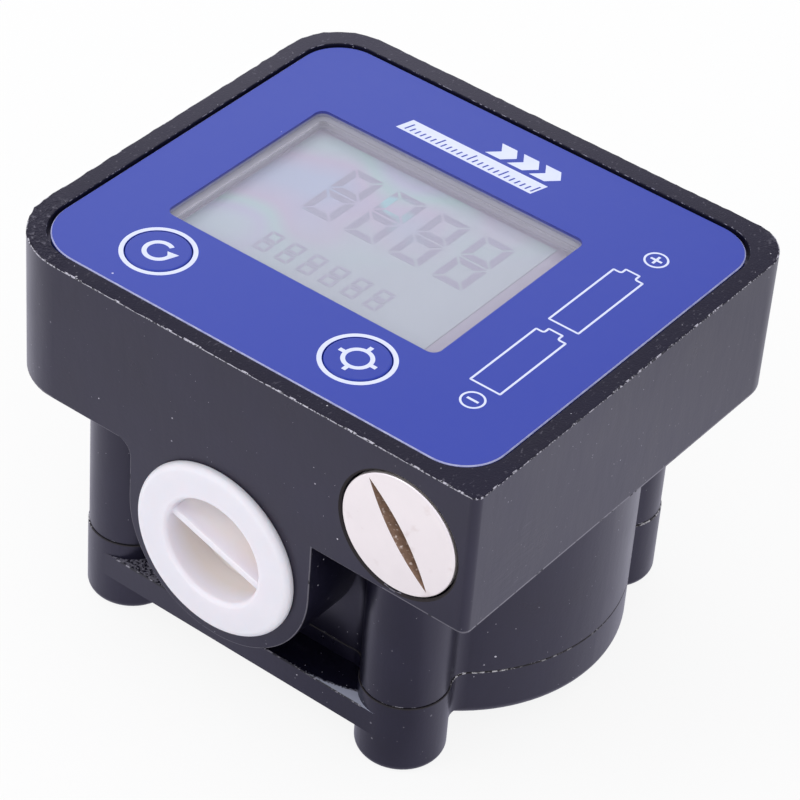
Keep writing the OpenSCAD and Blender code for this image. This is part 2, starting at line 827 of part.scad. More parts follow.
module battery_plug() placed() color(nickel) facing_front(battery_x, battery_z) difference() {
    union() {
        translate([0, 0, -plug_head]) cylinder(r = plug_r, h = plug_head);
        translate([0, 0, front_y - plug_end_y]) cylinder(r = plug_thread_r, h = plug_end_y - front_y - over);
    }
    translate([0, 0, front_y - plug_end_y - over]) cylinder(
        r = spring_front_r + 2 * spring_wire + over, h = spring_pocket + over
    );
    saw_cut();
}

module battery_plug_seal() placed() color(rubber_black) facing_front(battery_x, battery_z) {
    translate([0, 0, -plug_head - ring_d / 2]) rotate_extrude() {
        translate([plug_thread_r + fit_gap + ring_d / 2, 0]) circle(ring_d / 2 - fit_gap);
    }
}

module port_cap() placed() color(nylon_white) facing_front(0, port_z) {
    skirt_r = port_r - cap_gap;
    floor_z = cap_flange - cap_recess;
    difference() {
        rotate_extrude() {
            intersection() {
                union() {
                    square([cap_r - cap_edge, cap_flange]);
                    square([cap_r, cap_flange - cap_edge]);
                    translate([cap_r - cap_edge, cap_flange - cap_edge]) circle(cap_edge);
                }
                translate([0, fit_gap]) square([cap_r, cap_flange]);
            }
            translate([0, -cap_skirt]) square([skirt_r, cap_skirt + 2 * fit_gap]);
        }
        rotate_extrude() {
            translate([0, floor_z]) square([cap_recess_r, cap_recess + over]);
            translate([0, cap_flange - cap_mouth]) difference() {
                square([cap_recess_r + cap_mouth, cap_mouth + over]);
                translate([cap_recess_r + cap_mouth, 0]) circle(cap_mouth);
            }
            translate([0, -cap_skirt - over]) square([cap_recess_r, cap_skirt + over + floor_z - cap_floor]);
        }
    }
    rotate(cap_turn) box(
        [-cap_recess_r - fit_gap, -cap_bar / 2, floor_z - fit_gap],
        [cap_recess_r + fit_gap, cap_bar / 2, cap_flange - cap_mouth - bar_drop]
    );
}

meter_body();
bottom_cover();
chamber_seal();
cover_screws();
screw_washers();
gear_shafts();
left_gear();
left_bush();
gear_magnets();
right_gear();
right_bush();
front_panel();
panel_gasket();
display_window();
lcd_frame();
lcd_glass();
contact_strips();
circuit_board();
board_screws();
controller_chip();
quartz_can();
pulse_sensor();
key_switches();
reset_button();
reset_plunger();
cal_button();
cal_plunger();
battery_sleeve();
battery_front();
battery_rear();
rear_contact();
battery_spring();
battery_plug();
battery_plug_seal();
port_cap();
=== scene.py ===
# %% [markdown]
# Oval gear flow meter, dressed for a product picture.
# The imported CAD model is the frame: every piece is made in its place, in metres, with Z up. The
# origin is the bottom centre of the meter, and the capped port faces the front, along minus Y.

# %% Load the frame
import math

import bmesh
import bpy
from mathutils import Matrix, Vector


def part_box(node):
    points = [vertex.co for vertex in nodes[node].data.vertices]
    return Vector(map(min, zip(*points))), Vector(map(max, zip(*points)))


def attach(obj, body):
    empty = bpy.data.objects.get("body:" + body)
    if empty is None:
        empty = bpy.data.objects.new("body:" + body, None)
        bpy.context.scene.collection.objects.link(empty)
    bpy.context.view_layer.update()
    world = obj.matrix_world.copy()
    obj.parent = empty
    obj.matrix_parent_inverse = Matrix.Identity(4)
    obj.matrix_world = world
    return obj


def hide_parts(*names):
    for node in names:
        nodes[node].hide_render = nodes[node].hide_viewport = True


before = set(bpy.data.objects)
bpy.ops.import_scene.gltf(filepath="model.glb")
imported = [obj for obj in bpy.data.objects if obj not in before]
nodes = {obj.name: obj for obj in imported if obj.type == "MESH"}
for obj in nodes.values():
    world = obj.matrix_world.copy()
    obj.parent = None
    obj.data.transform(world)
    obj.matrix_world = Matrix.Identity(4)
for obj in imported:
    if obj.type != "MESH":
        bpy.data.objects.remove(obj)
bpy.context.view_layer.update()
MM = 0.001
HAIR = 0.01 * MM


def centre(node):
    """The middle of a node's box."""
    low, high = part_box(node)
    return (low + high) / 2


# %% [markdown]
# Blender's tools act on whatever is selected. Pieces could be picked by hand in the viewport,
# but a script needs a rule instead, so one function picks the faces or edges that pass a test.

# %% Picking


def pick(obj):
    """Selects this object alone and makes it active."""
    bpy.ops.object.select_all(action="DESELECT")
    obj.select_set(True)
    bpy.context.view_layer.objects.active = obj


def edit(obj, kind, action="DESELECT"):
    """Opens one object for editing; kind is VERT, EDGE or FACE."""
    pick(obj)
    bpy.ops.object.mode_set(mode="EDIT")
    bpy.ops.mesh.select_mode(type=kind)
    bpy.ops.mesh.select_all(action=action)


def choose(obj, kind, test):
    """Selects the points, edges or faces for which test is true, and counts them."""
    mesh = bmesh.from_edit_mesh(obj.data)
    parts = {"VERT": mesh.verts, "EDGE": mesh.edges, "FACE": mesh.faces}[kind]
    bpy.ops.mesh.select_all(action="DESELECT")
    count = 0
    for part in parts:
        if test(part):
            part.select_set(True)
            count += 1
    mesh.select_flush_mode()
    bmesh.update_edit_mesh(obj.data)
    return count


def close():
    bpy.ops.object.mode_set(mode="OBJECT")


def middle(edge):
    return (edge.verts[0].co + edge.verts[1].co) / 2


def is_sharp(edge, angle=40):
    """True where an edge's two faces meet at more than the angle, in degrees."""
    return len(edge.link_faces) == 2 and edge.calc_face_angle(0) > math.radians(angle)


# %% [markdown]
# The camera stands where the photographer stood: above the front right corner, turned a little.
# It could be aimed with a constraint, but three plain turns are easier to adjust. The long lens
# keeps upright edges nearly upright.

# %% Camera
CAMERA_PLACE = Vector((241.295, -338.197, 372.373)) * MM
AZIMUTH, ELEVATION, ROLL = (math.radians(a) for a in (35.156, 38.993, -4.699))
SENSOR_WIDTH = 36
FOCAL_LENGTH = 156.22

turned = (
    Matrix.Rotation(AZIMUTH, 4, "Z")
    @ Matrix.Rotation(math.pi / 2 - ELEVATION, 4, "X")
    @ Matrix.Rotation(-ROLL, 4, "Z")
)
bpy.ops.object.camera_add()
camera = bpy.context.active_object
camera.data.sensor_width = SENSOR_WIDTH
camera.data.lens = FOCAL_LENGTH
camera.data.clip_start = 0.01
camera.matrix_world = Matrix.Translation(CAMERA_PLACE) @ turned
bpy.context.scene.camera = camera
bpy.context.scene.view_settings.view_transform = "Standard"
print("camera", [round(v / MM) for v in camera.location], "mm, lens", camera.data.lens)

# %% [markdown]
# A material is a tree of nodes. It could be drawn by hand in the shader editor, but sums read like
# the idea behind it. A signal is one output socket, and each sum on signals adds a Math node.

# %% Signals


def maths(operation, swapped=False):
    """A method that adds a Math node between a signal and another value."""

    def method(self, other=0.0):
        first, second = (other, self) if swapped else (self, other)
        return self.owner.node("ShaderNodeMath", {"operation": operation}, {0: first, 1: second})

    return method


class Signal:
    """An output socket of a node tree, which can be used in sums."""

    __add__ = __radd__ = maths("ADD")
    __sub__ = maths("SUBTRACT")
    __rsub__ = maths("SUBTRACT", swapped=True)
    __mul__ = maths("MULTIPLY")
    __truediv__ = maths("DIVIDE")
    __pow__ = maths("POWER")
    __gt__ = maths("GREATER_THAN")
    __lt__ = maths("LESS_THAN")
    __abs__ = maths("ABSOLUTE")
    at_most = maths("MINIMUM")
    at_least = maths("MAXIMUM")

    def __init__(self, owner, socket):
        self.owner = owner
        self.socket = socket

    def other(self, name):
        """Another output of the same node."""
        return Signal(self.owner, self.socket.node.outputs[name])

    def clipped(self):
        """The signal kept between 0 and 1."""
        return self.at_most(1.0).at_least(0.0)


def reach(first, second):
    """The length of a line with these two sides across and along."""
    return (first ** 2 + second ** 2) ** 0.5


# %% [markdown]
# Each material is a finish: its Principled shader, and methods for the nodes that feed it.
# Textures are measured in millimetres of the meter, so a finish keeps its grain on every piece
# and no piece needs an unwrapped map.

# %% Node trees and finishes


class NodeTree:
    """Makes the nodes of a material or of the sky."""

    def __init__(self, tree):
        self.tree = tree

    def node(self, kind, settings=None, inputs=None, out=0):
        """Adds a node: its settings first, then values or links for its inputs."""
        made = self.tree.nodes.new(kind)
        for key, value in (settings or {}).items():
            setattr(made, key, value)
        for key, value in (inputs or {}).items():
            self.feed(made.inputs[key], value)
        return Signal(self, made.outputs[out])

    def feed(self, socket, value):
        """Links a signal to a socket, or sets the socket to a plain value."""
        if isinstance(value, Signal):
            self.tree.links.new(value.socket, socket)
        else:
            socket.default_value = value

    def blend(self, share, first, second):
        """The first colour where share is 0 and the second where it is 1."""
        return self.node("ShaderNodeMix", {"data_type": "RGBA"}, {0: share, 6: first, 7: second}, out=2)


class Finish(NodeTree):
    """A procedural material built round its Principled shader."""

    def __init__(self, name, **constants):
        self.material = bpy.data.materials.new(name)
        self.material.use_nodes = True
        super().__init__(self.material.node_tree)
        self.shader = self.tree.nodes["Principled BSDF"]
        self.set(**constants)

    def set(self, **inputs):
        """Sets or links sockets of the Principled shader; Base_Color stands for Base Color."""
        for key, value in inputs.items():
            self.feed(self.shader.inputs[key.replace("_", " ")], value)

    def fed(self, name):
        """The signal that a socket of the shader has so far."""
        return Signal(self, self.shader.inputs[name].links[0].from_socket)

    def place(self):
        """Object coordinates, which here are metres in the meter's own frame."""
        return self.node("ShaderNodeTexCoord", out="Object")

    def axes(self):
        """The three coordinates as numbers, in millimetres."""
        split = self.node("ShaderNodeSeparateXYZ", inputs={0: self.place()})
        return [split.other(axis) * 1000 for axis in "XYZ"]

    def noise(self, size_mm, detail=2.0, rough=0.5, seed=0.0, stretch=(1, 1, 1), tilt=0.0):
        """Soft noise with lumps of about the given size, tilted about X by an angle in degrees."""
        vector = self.node("ShaderNodeMapping", inputs={
            "Vector": self.place(), "Scale": stretch, "Location": (seed, seed / 2, seed / 3),
            "Rotation": (math.radians(tilt), 0, 0),
        })
        return self.node("ShaderNodeTexNoise", inputs={
            "Vector": vector, "Scale": 1000 / size_mm, "Detail": detail, "Roughness": rough,
        })

    def specks(self, spacing_mm, radius_mm, share):
        """1 inside small round specks: one cell in so many has one."""
        cells = self.node("ShaderNodeTexVoronoi", inputs={"Vector": self.place(), "Scale": 1000 / spacing_mm})
        picked = self.node("ShaderNodeSeparateColor", inputs={0: cells.other("Color")})
        size = picked.other("Green") * (radius_mm / spacing_mm)
        return (cells < size) * (picked < share)

    def bump(self, height, depth_mm, under=None):
        """A normal that follows a height from 0 to 1, so many millimetres deep."""
        inputs = {"Height": height, "Distance": depth_mm * MM, "Strength": 1.0}
        if under is not None:
            inputs["Normal"] = under
        return self.node("ShaderNodeBump", inputs=inputs)


def colour(*screen):
    """A colour from three screen values of 0 to 255, as the linear numbers that shaders use."""
    return (*[v / 255 / 12.92 if v <= 10 else ((v / 255 + 0.055) / 1.055) ** 2.4 for v in screen], 1.0)


# %% [markdown]
# The studio is a white table under soft light. A plain white table would render grey, so to the
# camera it mostly glows, and the rest is real light that keeps the soft shadow. Mirrors see more
# of the real light, which darkens the feet towards the table, and painted shade dims the glow
# where mirrors show the table beside the front right foot. The mirrored air has a slight violet tint.

# %% Table
VIOLET_AIR = (0.95, 0.93, 1.18, 1.0)
WHITE = (1, 1, 1, 1)
FOOT_SHADE_X, FOOT_SHADE_Y, FOOT_SHADE_HALF, FOOT_SHADE_REACH, FOOT_SHADE_SOFT = 32, -57, 10, 36, 16

bpy.ops.mesh.primitive_plane_add(size=6, location=(0, 0, 0))
table = bpy.context.active_object
table.name = "studio_table"

cloth = Finish("studio_white", Base_Color=colour(238, 238, 240), Roughness=0.9, Specular_IOR_Level=0.1)
rays = cloth.node("ShaderNodeLightPath")
seen = rays.other("Is Camera Ray")
glossy = rays.other("Is Glossy Ray")
mirrored = (glossy + rays.other("Is Transmission Ray")).clipped()
table_x, table_y = cloth.axes()[:2]
# Painted shade: where the front right foot is mirrored, the table's glow is dimmed in a soft patch.
foot_shade_across = (abs(table_x - FOOT_SHADE_X) - FOOT_SHADE_HALF).at_least(0.0)
foot_shade = ((FOOT_SHADE_REACH - reach(foot_shade_across, table_y - FOOT_SHADE_Y)) / FOOT_SHADE_SOFT).clipped()
front_dim = ((-60 - table_y) / 40).clipped() * 0.1
back_dim = ((table_y - 55) / 40).clipped() * 0.3
right_gain = ((table_x - 60) / 20).clipped() * 0.15
glow = cloth.node("ShaderNodeEmission", inputs={
    "Color": cloth.blend(glossy, WHITE, VIOLET_AIR),
    "Strength": 1 + mirrored * (right_gain - back_dim - foot_shade * 0.5 - front_dim),
})
glow_share = (seen * 0.88 + mirrored * (0.5 + foot_shade * 0.3)).clipped()
table_look = cloth.node(
    "ShaderNodeMixShader", inputs={0: glow_share, 1: Signal(cloth, cloth.shader.outputs[0]), 2: glow}
)
cloth.feed(cloth.tree.nodes["Material Output"].inputs["Surface"], table_look)
table.data.materials.append(cloth.material)
print("table:", table.name)

# %% [markdown]
# The sky is plain white, a little weaker as a lamp than as a background. Three square lamps add
# direction. A picture of a real studio would do too, but lamps stay easy to adjust.

# %% Sky and lamps
SKY_LIGHT = 0.8
LAMP_AIM = Vector((0, 0, 45)) * MM

world = bpy.data.worlds.new("studio_sky")
bpy.context.scene.world = world
world.use_nodes = True
sky = NodeTree(world.node_tree)
sky_rays = sky.node("ShaderNodeLightPath")
sky_glossy = sky_rays.other("Is Glossy Ray")
sky_shown = (sky_rays.other("Is Camera Ray") + sky_glossy + sky_rays.other("Is Transmission Ray")).clipped()
background = sky.tree.nodes["Background"]
sky.feed(background.inputs["Strength"], sky_shown * (1 - SKY_LIGHT) + SKY_LIGHT)
sky.feed(background.inputs["Color"], sky.blend(sky_glossy, WHITE, VIOLET_AIR))


def softbox(name, place, size, watts):
    """A square lamp that faces the meter's head."""
    bpy.ops.object.light_add(type="AREA", location=place)
    lamp = bpy.context.active_object
    lamp.name = name
    lamp.data.size = size
    lamp.data.energy = watts
    lamp.rotation_euler = (LAMP_AIM - Vector(place)).to_track_quat("-Z", "Y").to_euler()


softbox("key_lamp", (-0.55, 0.35, 0.9), 1.2, 2.6)
softbox("fill_lamp", (0.7, -0.3, 0.7), 0.9, 1.2)
softbox("front_lamp", (-0.5, -0.76, 0.76), 0.55, 3.0)
print("studio ready")

# %% [markdown]
# The castings are aluminium under black paint. The sides are glossy enough to mirror the white
# table, the ground top of the rim is matt, and both are dusty. One recipe keeps them related.

# %% Black paint
DUST = colour(206, 204, 216)


def black_paint(name, tone, roughness, grain_mm, grain_depth_mm, dust, wave_depth_mm=0.0):
    """Black paint of a tone, with grain, slow waves and a share of dust."""
    finish = Finish(name)
    cloud = finish.noise(9, detail=3)
    grain = finish.noise(grain_mm, detail=2)
    waves = finish.noise(2.6, detail=2, seed=1.7, stretch=(1, 1, 0.35))
    speck = finish.specks(0.9, 0.12, 0.26 * dust) + finish.specks(2.4, 0.2, 0.22 * dust)
    patchy = (finish.noise(16, detail=2, seed=3.1) - 0.46) * 5
    dirt = (speck * (patchy.clipped() * 0.75 + 0.2)).clipped()
    darker = colour(tone - 4, tone - 5, tone + 5)
    lighter = colour(tone + 5, tone + 4, tone + 22)
    finish.set(
        Base_Color=finish.blend(dirt, finish.blend(cloud, darker, lighter), DUST),
        Roughness=(roughness + (cloud - 0.5) * 0.12 + dirt * 0.4).clipped(),
        Normal=finish.bump(grain, grain_depth_mm, finish.bump(waves, wave_depth_mm)),
        IOR=1.54,
        Specular_Tint=(0.86, 0.82, 1.0, 1.0),
    )
    return finish


# %% [markdown]
# The right face is scuffed near the front corner by short slanting strokes. They come from noise
# that is stretched and tilted, and kept to one place.

# %% Paint of the sides
SCUFF_Y, SCUFF_Z, SCUFF_REACH = -29, 48, 9
RIGHT_FACE_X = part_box("meter_body")[1].x / MM

side_paint = black_paint("black_paint_side", 18, 0.3, 0.5, 0.01, 1.0, 0.035)
side_x, side_y, side_z = side_paint.axes()
scuff_away = reach(side_y - SCUFF_Y, side_z - SCUFF_Z)
scuffed = ((SCUFF_REACH - scuff_away) * 0.2).clipped() * (side_x > RIGHT_FACE_X - 0.5)
scuff = side_paint.noise(2 / 3, detail=3, stretch=(1, 0.16, 1), tilt=-48)
scuff_share = ((scuff - 0.66) * 8).clipped() * scuffed * 0.3
side_paint.set(
    Base_Color=side_paint.blend(scuff_share, side_paint.fed("Base Color"), colour(150, 148, 162)),
    Normal=side_paint.bump(scuff * scuffed, 0.03, side_paint.fed("Normal")),
)
print("side paint ready")

# %% [markdown]
# The top of the rim is ground, pitted at two corners, and painted lighter towards the back left as a
# painted reflection. Pits could be modelled, but they are finer than the faces there, so they are bump and
# colour.

# %% Paint of the rim
rim_paint = black_paint("black_paint_rim", 8, 0.55, 0.3, 0.07, 0.6, 0.05)
rim_x, rim_y = rim_paint.axes()[:2]
# Painted reflection: the top of the rim turns lighter towards the back left.
back_left_sheen = ((rim_y - rim_x) / 80 + 0.2).clipped() * 0.2


def pitted_corner(x, y, pit_reach):
    """1 at a corner of the rim, falling to 0 at its reach, all in mm."""
    return ((reach(rim_x - x, rim_y - y) - pit_reach) * -0.25).clipped()


pitted = pitted_corner(-44, -37, 13) + pitted_corner(45, 40, 6) * 0.7
pits = rim_paint.noise(1.1, detail=3, rough=0.6, seed=5.3)
scratch = rim_paint.noise(0.4, detail=2, seed=2.2, stretch=(1, 0.5, 1))
chalk_and_sheen = ((scratch - 0.64) * 9).clipped() * 0.3 + ((pits - 0.58) * 10).clipped() * pitted * 0.5 + back_left_sheen
rim_paint.set(
    Base_Color=rim_paint.blend(chalk_and_sheen, rim_paint.fed("Base Color"), colour(120, 118, 130)),
    Normal=rim_paint.bump(pits * pitted, 1.0, rim_paint.fed("Normal")),
    Specular_IOR_Level=0.2,
)
print("rim paint ready")

# %% [markdown]
# Edges lose their paint first. A noise decides where: above a limit the bare metal shows, below it
# the paint is left. The share of bare metal and the size of the chips tell a knocked rim from a
# rubbed foot, so one function makes them all. The same recipe paints the highlights on the lugs'
# edges and the ledge's front edge.

# %% Worn edges, painted edge highlights and gaps
WORN_BLACK = colour(20, 20, 26)


def edge_wear_and_highlight(name, share, size_mm, bright, dim_beyond_x=None):
    """Paint torn off an edge, also used as a painted highlight: bright metal with black notches, less of it
    beyond an x in mm.
    """
    finish = Finish(name)
    tear = finish.noise(size_mm, detail=3, rough=0.65)
    if dim_beyond_x is not None:
        share = share - (finish.axes()[0] > dim_beyond_x) * 0.07
    bare = ((tear - (1 - share)) * 14).clipped()
    finish.set(
        Base_Color=finish.blend(bare, WORN_BLACK, colour(bright, bright - 2, bright + 6)),
        Metallic=bare * 0.35,
        Roughness=0.6 - bare * 0.1,
        Normal=finish.bump(tear, 0.08),
    )
    return finish


torn_rim = edge_wear_and_highlight("torn_rim_edge", 0.575, 0.45, 180, 43.2)
rubbed_edge = edge_wear_and_highlight("rubbed_edge", 0.47, 0.8, 165)
joint_edge = edge_wear_and_highlight("joint_edge", 0.42, 1.3, 190)
thin_edge = edge_wear_and_highlight("thin_edge", 0.66, 1.2, 104)
right_foot_edge = edge_wear_and_highlight("right_foot_edge", 0.66, 1.2, 124)
gap_dirt = Finish("gap_dirt", Roughness=0.8)
gap_dirt.set(Base_Color=gap_dirt.blend(gap_dirt.noise(0.8), colour(12, 10, 11), colour(36, 27, 24)))
print("worn edges ready")

# %% [markdown]
# The joint between the castings is a dark gap with bright chips here and there. A slower noise
# keeps the chips in patches, and the sheltered pocket beside the port has none.

# %% Joint between the castings
POCKET_X, POCKET_Y = 23, -26

joint_gap = Finish("joint_gap", Roughness=0.6)
chip = joint_gap.noise(0.7, detail=3, rough=0.65, seed=6.0)
gap_x, gap_y = joint_gap.axes()[:2]
past_pocket = ((abs(gap_x) - POCKET_X) * 2 + (gap_y - POCKET_Y) * 2).clipped()
chip_patch = ((joint_gap.noise(9, detail=1, seed=2.5) - 0.44) * 8).clipped() * past_pocket
gap_black = joint_gap.blend(joint_gap.noise(0.8), colour(12, 10, 11), colour(34, 27, 25))
chips = ((chip - 0.5) * 12).clipped() * chip_patch
joint_gap.set(Base_Color=joint_gap.blend(chips, gap_black, colour(196, 194, 200)))
print("joint ready")

# %% [markdown]
# The castings could be modelled again, but they would drift from the frame, so a copy of each CAD
# node is merged and its flat faces are dissolved into single ones. A flat face with a hole can't
# be one face, so straight cuts go through the holes first. They are marked as seams, which the
# dissolve leaves alone. The bevel gives its new faces a slot of their own, which is how the wear
# stays exactly on the edges.

# %% Merged copies of CAD nodes


def cad_copy(name, node, finishes, cuts=()):
    """A merged copy of a CAD node in the same place, cut at the given (axis, mm) planes."""
    piece = bpy.data.objects.new(name, nodes[node].data.copy())
    bpy.context.scene.collection.objects.link(piece)
    piece.data.name = name
    piece.data.materials.clear()
    edit(piece, "FACE", "SELECT")
    bpy.ops.mesh.remove_doubles(threshold=2e-6)
    for axis, place in cuts:
        direction = [1.0 if axis == letter else 0.0 for letter in "xyz"]
        bpy.ops.mesh.select_all(action="SELECT")
        point = [place * MM * part for part in direction]
        bpy.ops.mesh.bisect(plane_co=point, plane_no=direction, threshold=1e-6)
        bpy.ops.mesh.mark_seam(clear=False)
    bpy.ops.mesh.select_all(action="SELECT")
    bpy.ops.mesh.dissolve_limited(angle_limit=math.radians(0.3), delimit={"SEAM"})
    if bpy.ops.mesh.customdata_custom_splitnormals_clear.poll():
        bpy.ops.mesh.customdata_custom_splitnormals_clear()
    close()
    for finish in finishes:
        piece.data.materials.append(finish.material)
    return piece


def wear(piece, test, width_mm, slot, segments=2):
    """Bevels the edges for which test is true, with the material of that slot."""
    edit(piece, "EDGE")
    count = choose(piece, "EDGE", test)
    if count:
        bpy.ops.mesh.bevel(
            offset=width_mm * MM, offset_type="OFFSET", segments=segments, material=slot, clamp_overlap=False
        )
    close()
    return count


def paint_faces(piece, test, slot):
    """Gives the faces for which test is true the material of that slot."""
    for face in piece.data.polygons:
        if test(face):
            face.material_index = slot


def smooth(piece, angle=35):
    """Cuts the faces into triangles and shades them smooth up to an angle in degrees."""
    edit(piece, "FACE", "SELECT")
    bpy.ops.mesh.quads_convert_to_tris(quad_method="BEAUTY", ngon_method="BEAUTY")
    close()
    bpy.ops.object.shade_smooth_by_angle(angle=math.radians(angle), keep_sharp_edges=False)
    bpy.ops.object.modifier_add(type="WEIGHTED_NORMAL")
    piece.modifiers[-1].keep_sharp = True
    bpy.ops.object.modifier_apply(modifier=piece.modifiers[-1].name)


# %% [markdown]
# Most tests below ask where an edge lies: at a height, on the outside, or at the joint.

# %% Places on the castings
BODY_LOW, BODY_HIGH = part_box("meter_body")
HEAD_TOP = BODY_HIGH.z
HEAD_FOOT = 41.5 * MM
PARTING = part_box("bottom_cover")[1].z
MIDDLE = Vector((0, centre("meter_body").y, 0))


def at_height(edge, height):
    """A level edge at that height."""
    return all(abs(v.co.z - height) < 2 * HAIR for v in edge.verts)


def faces_out(edge):
    """An edge with an upright face that looks away from the middle of the meter."""
    out = middle(edge) - MIDDLE
    return any(abs(f.normal.z) < 0.3 and f.normal.dot(out) > 0 for f in edge.link_faces)


def at_parting(edge):
    """The outer edges of the joint between the two castings."""
    out = max(abs(v.co.x) / 42 + abs(v.co.y - MIDDLE.y) / 60 for v in edge.verts)
    return at_height(edge, PARTING) and is_sharp(edge) and faces_out(edge) and out > 0.6 * MM


print("head top:", round(HEAD_TOP / MM, 2), "mm, joint:", round(PARTING / MM, 2), "mm")

# %% [markdown]
# The front right upright corner of the body is crisper than the others, so its points are drawn
# in towards the sharp corner. A new bevel would have to cross the hole of the battery plug.

# %% Body casting
FOOT_BAND = 0.3 * MM
CORNER_RADIUS = 2.5 * MM
CORNER_DRAW = 0.56
PLUG_CENTRE = centre("battery_plug")
PLUG_HOLE = 10.4 * MM
RIM, TORN, RUBBED, DIRT, JOINT, FOOT, RIGHT_FOOT = range(1, 8)

body = cad_copy(
    "body_casting", "meter_body",
    [side_paint, rim_paint, torn_rim, rubbed_edge, gap_dirt, joint_edge, thin_edge, right_foot_edge],
    [("x", 3.1), ("x", 30.3), ("y", 2.3), ("z", 54.1), ("z", 29.3), ("z", (HEAD_FOOT + FOOT_BAND) / MM)],
)


def from_plug(place):
    """The distance of a place from the plug's axis."""
    return math.hypot(place.x - PLUG_CENTRE.x, place.z - PLUG_CENTRE.z)


def at_crisp_corner(vertex):
    """The points of the upright corner beside the plug, but not those of the plug's hole."""
    place = vertex.co
    in_corner = place.x > BODY_HIGH.x - CORNER_RADIUS - HAIR and place.y < BODY_LOW.y + CORNER_RADIUS + HAIR
    return in_corner and place.z > HEAD_FOOT - HAIR and from_plug(place) > PLUG_HOLE


edit(body, "VERT")
corner_points = choose(body, "VERT", at_crisp_corner)
bpy.ops.transform.resize(value=(CORNER_DRAW, CORNER_DRAW, 1), center_override=(BODY_HIGH.x, BODY_LOW.y, 0.0))
close()
print("corner points:", corner_points)

# %% [markdown]
# The rim's outer edge is knocked all round, and most at two corners. Its long edges are cut into
# short ones, then bevelled, and the bevel's points are shaken a little. The cuts go one edge at a
# time, because cutting several edges of one face at once would also cut across the face.

# %% Knocked rim
RIM_STEP = 1.1
FRONT_LEFT, BACK_RIGHT = -66 * MM, 78 * MM


def cut_up(piece, test, step_mm):
    """Cuts the long edges for which test is true into steps, one edge at a time."""
    edit(piece, "EDGE")
    count = 0
    while True:
        mesh = bmesh.from_edit_mesh(piece.data)
        bpy.ops.mesh.select_all(action="DESELECT")
        long_edge = next((e for e in mesh.edges if e.calc_length() > 2 * step_mm * MM and test(e)), None)
        if long_edge is None:
            break
        cuts = int(long_edge.calc_length() / MM / step_mm)
        long_edge.select_set(True)
        bmesh.update_edit_mesh(piece.data)
        bpy.ops.mesh.subdivide(number_cuts=cuts)
        count += cuts
    close()
    return count


def on_rim_line(edge):
    """The outer edge of the rim's top."""
    return at_height(edge, HEAD_TOP) and faces_out(edge)


def is_torn(vertex):
    """Points with torn faces alone."""
    return all(f.material_index == TORN for f in vertex.link_faces)


def at_torn_corner(vertex):
    """Torn points at the front left or the back right corner."""
    diagonal = vertex.co.x + vertex.co.y
    return is_torn(vertex) and (diagonal < FRONT_LEFT or diagonal > BACK_RIGHT)


rim_cuts = cut_up(body, on_rim_line, RIM_STEP)
rim_edges = wear(body, on_rim_line, 0.2, TORN)
edit(body, "VERT")
choose(body, "VERT", is_torn)
bpy.ops.transform.vertex_random(offset=0.1 * MM, seed=4)
choose(body, "VERT", at_torn_corner)
bpy.ops.transform.vertex_random(offset=0.26 * MM, seed=8)
close()
for vertex in body.data.vertices:
    vertex.co = [min(max(c, a), b) for c, a, b in zip(vertex.co, BODY_LOW, BODY_HIGH)]
print("rim cuts:", rim_cuts, "rim edges:", rim_edges)

# %% [markdown]
# The inner edge of the rim and the joint are only rubbed, the edges round the lugs carry a thin
# painted highlight, and dirt lies round the plug. The lower edge of the head shows as a thin bright
# line, for which a narrow band of faces is enough.

# %% Edges of the body
LUG_Y = 40 * MM


def on_inner_rim(edge):
    """The inner edge of the rim's top."""
    return at_height(edge, HEAD_TOP) and is_sharp(edge) and not faces_out(edge)


def on_lug(edge):
    """The edges round a port's lug, at the front or at the back."""
    at_face = abs(abs(middle(edge).y - MIDDLE.y) - LUG_Y) < 10 * HAIR
    return is_sharp(edge, 50) and at_face and middle(edge).z < HEAD_FOOT + 1 * MM


def round_plug(edge):
    """The edge of the plug's hole."""
    at_front = abs(middle(edge).y - BODY_LOW.y) < 2 * HAIR
    return is_sharp(edge) and at_front and 9.9 * MM < from_plug(middle(edge)) < 11 * MM


def in_foot_band(face):
    """The narrow band along the head's lower edge."""
    return HEAD_FOOT < face.center.z < HEAD_FOOT + FOOT_BAND


def on_foot_line(face):
    """The upright faces of that band that look outwards."""
    return in_foot_band(face) and abs(face.normal.z) < 0.3 and face.normal.dot(face.center - MIDDLE) > 0


inner_edges = wear(body, on_inner_rim, 0.14, RUBBED)
# Painted highlight: a thin bright line along the edges round the lugs.
lug_edges = wear(body, on_lug, 0.16, FOOT)
parting_edges = wear(body, at_parting, 0.2, JOINT)
plug_edges = wear(body, round_plug, 0.35, DIRT, 1)
paint_faces(body, lambda f: f.normal.z > 0.9 and f.center.z > HEAD_TOP - 5 * HAIR, RIM)
paint_faces(body, on_foot_line, FOOT)
paint_faces(body, lambda f: f.normal.x > 0.95 and in_foot_band(f), RIGHT_FOOT)
smooth(body)
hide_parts("meter_body")
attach(body, "housing")
print("body edges:", inner_edges, lug_edges, parting_edges, plug_edges)

# %% [markdown]
# The cover has a ledge between its front feet, paler, rough and bumpy at its left end. A painted
# highlight, a wedge of pale paint, widens along its front edge towards the right foot. A lamp
# could do that, but lighter paint stays in its place.

# %% Paint of the ledge
LEDGE_FRONT = -33.85
ledge_paint_and_highlight = black_paint("ledge_paint_and_highlight", 16, 0.2, 0.5, 0.01, 1.6)
ledge_x, ledge_y = ledge_paint_and_highlight.axes()[:2]
crust = ledge_paint_and_highlight.noise(0.5, detail=3, rough=0.7)
rough_end = ((-13 - ledge_x) * 0.5).clipped() * ((crust - 0.42) * 7).clipped()
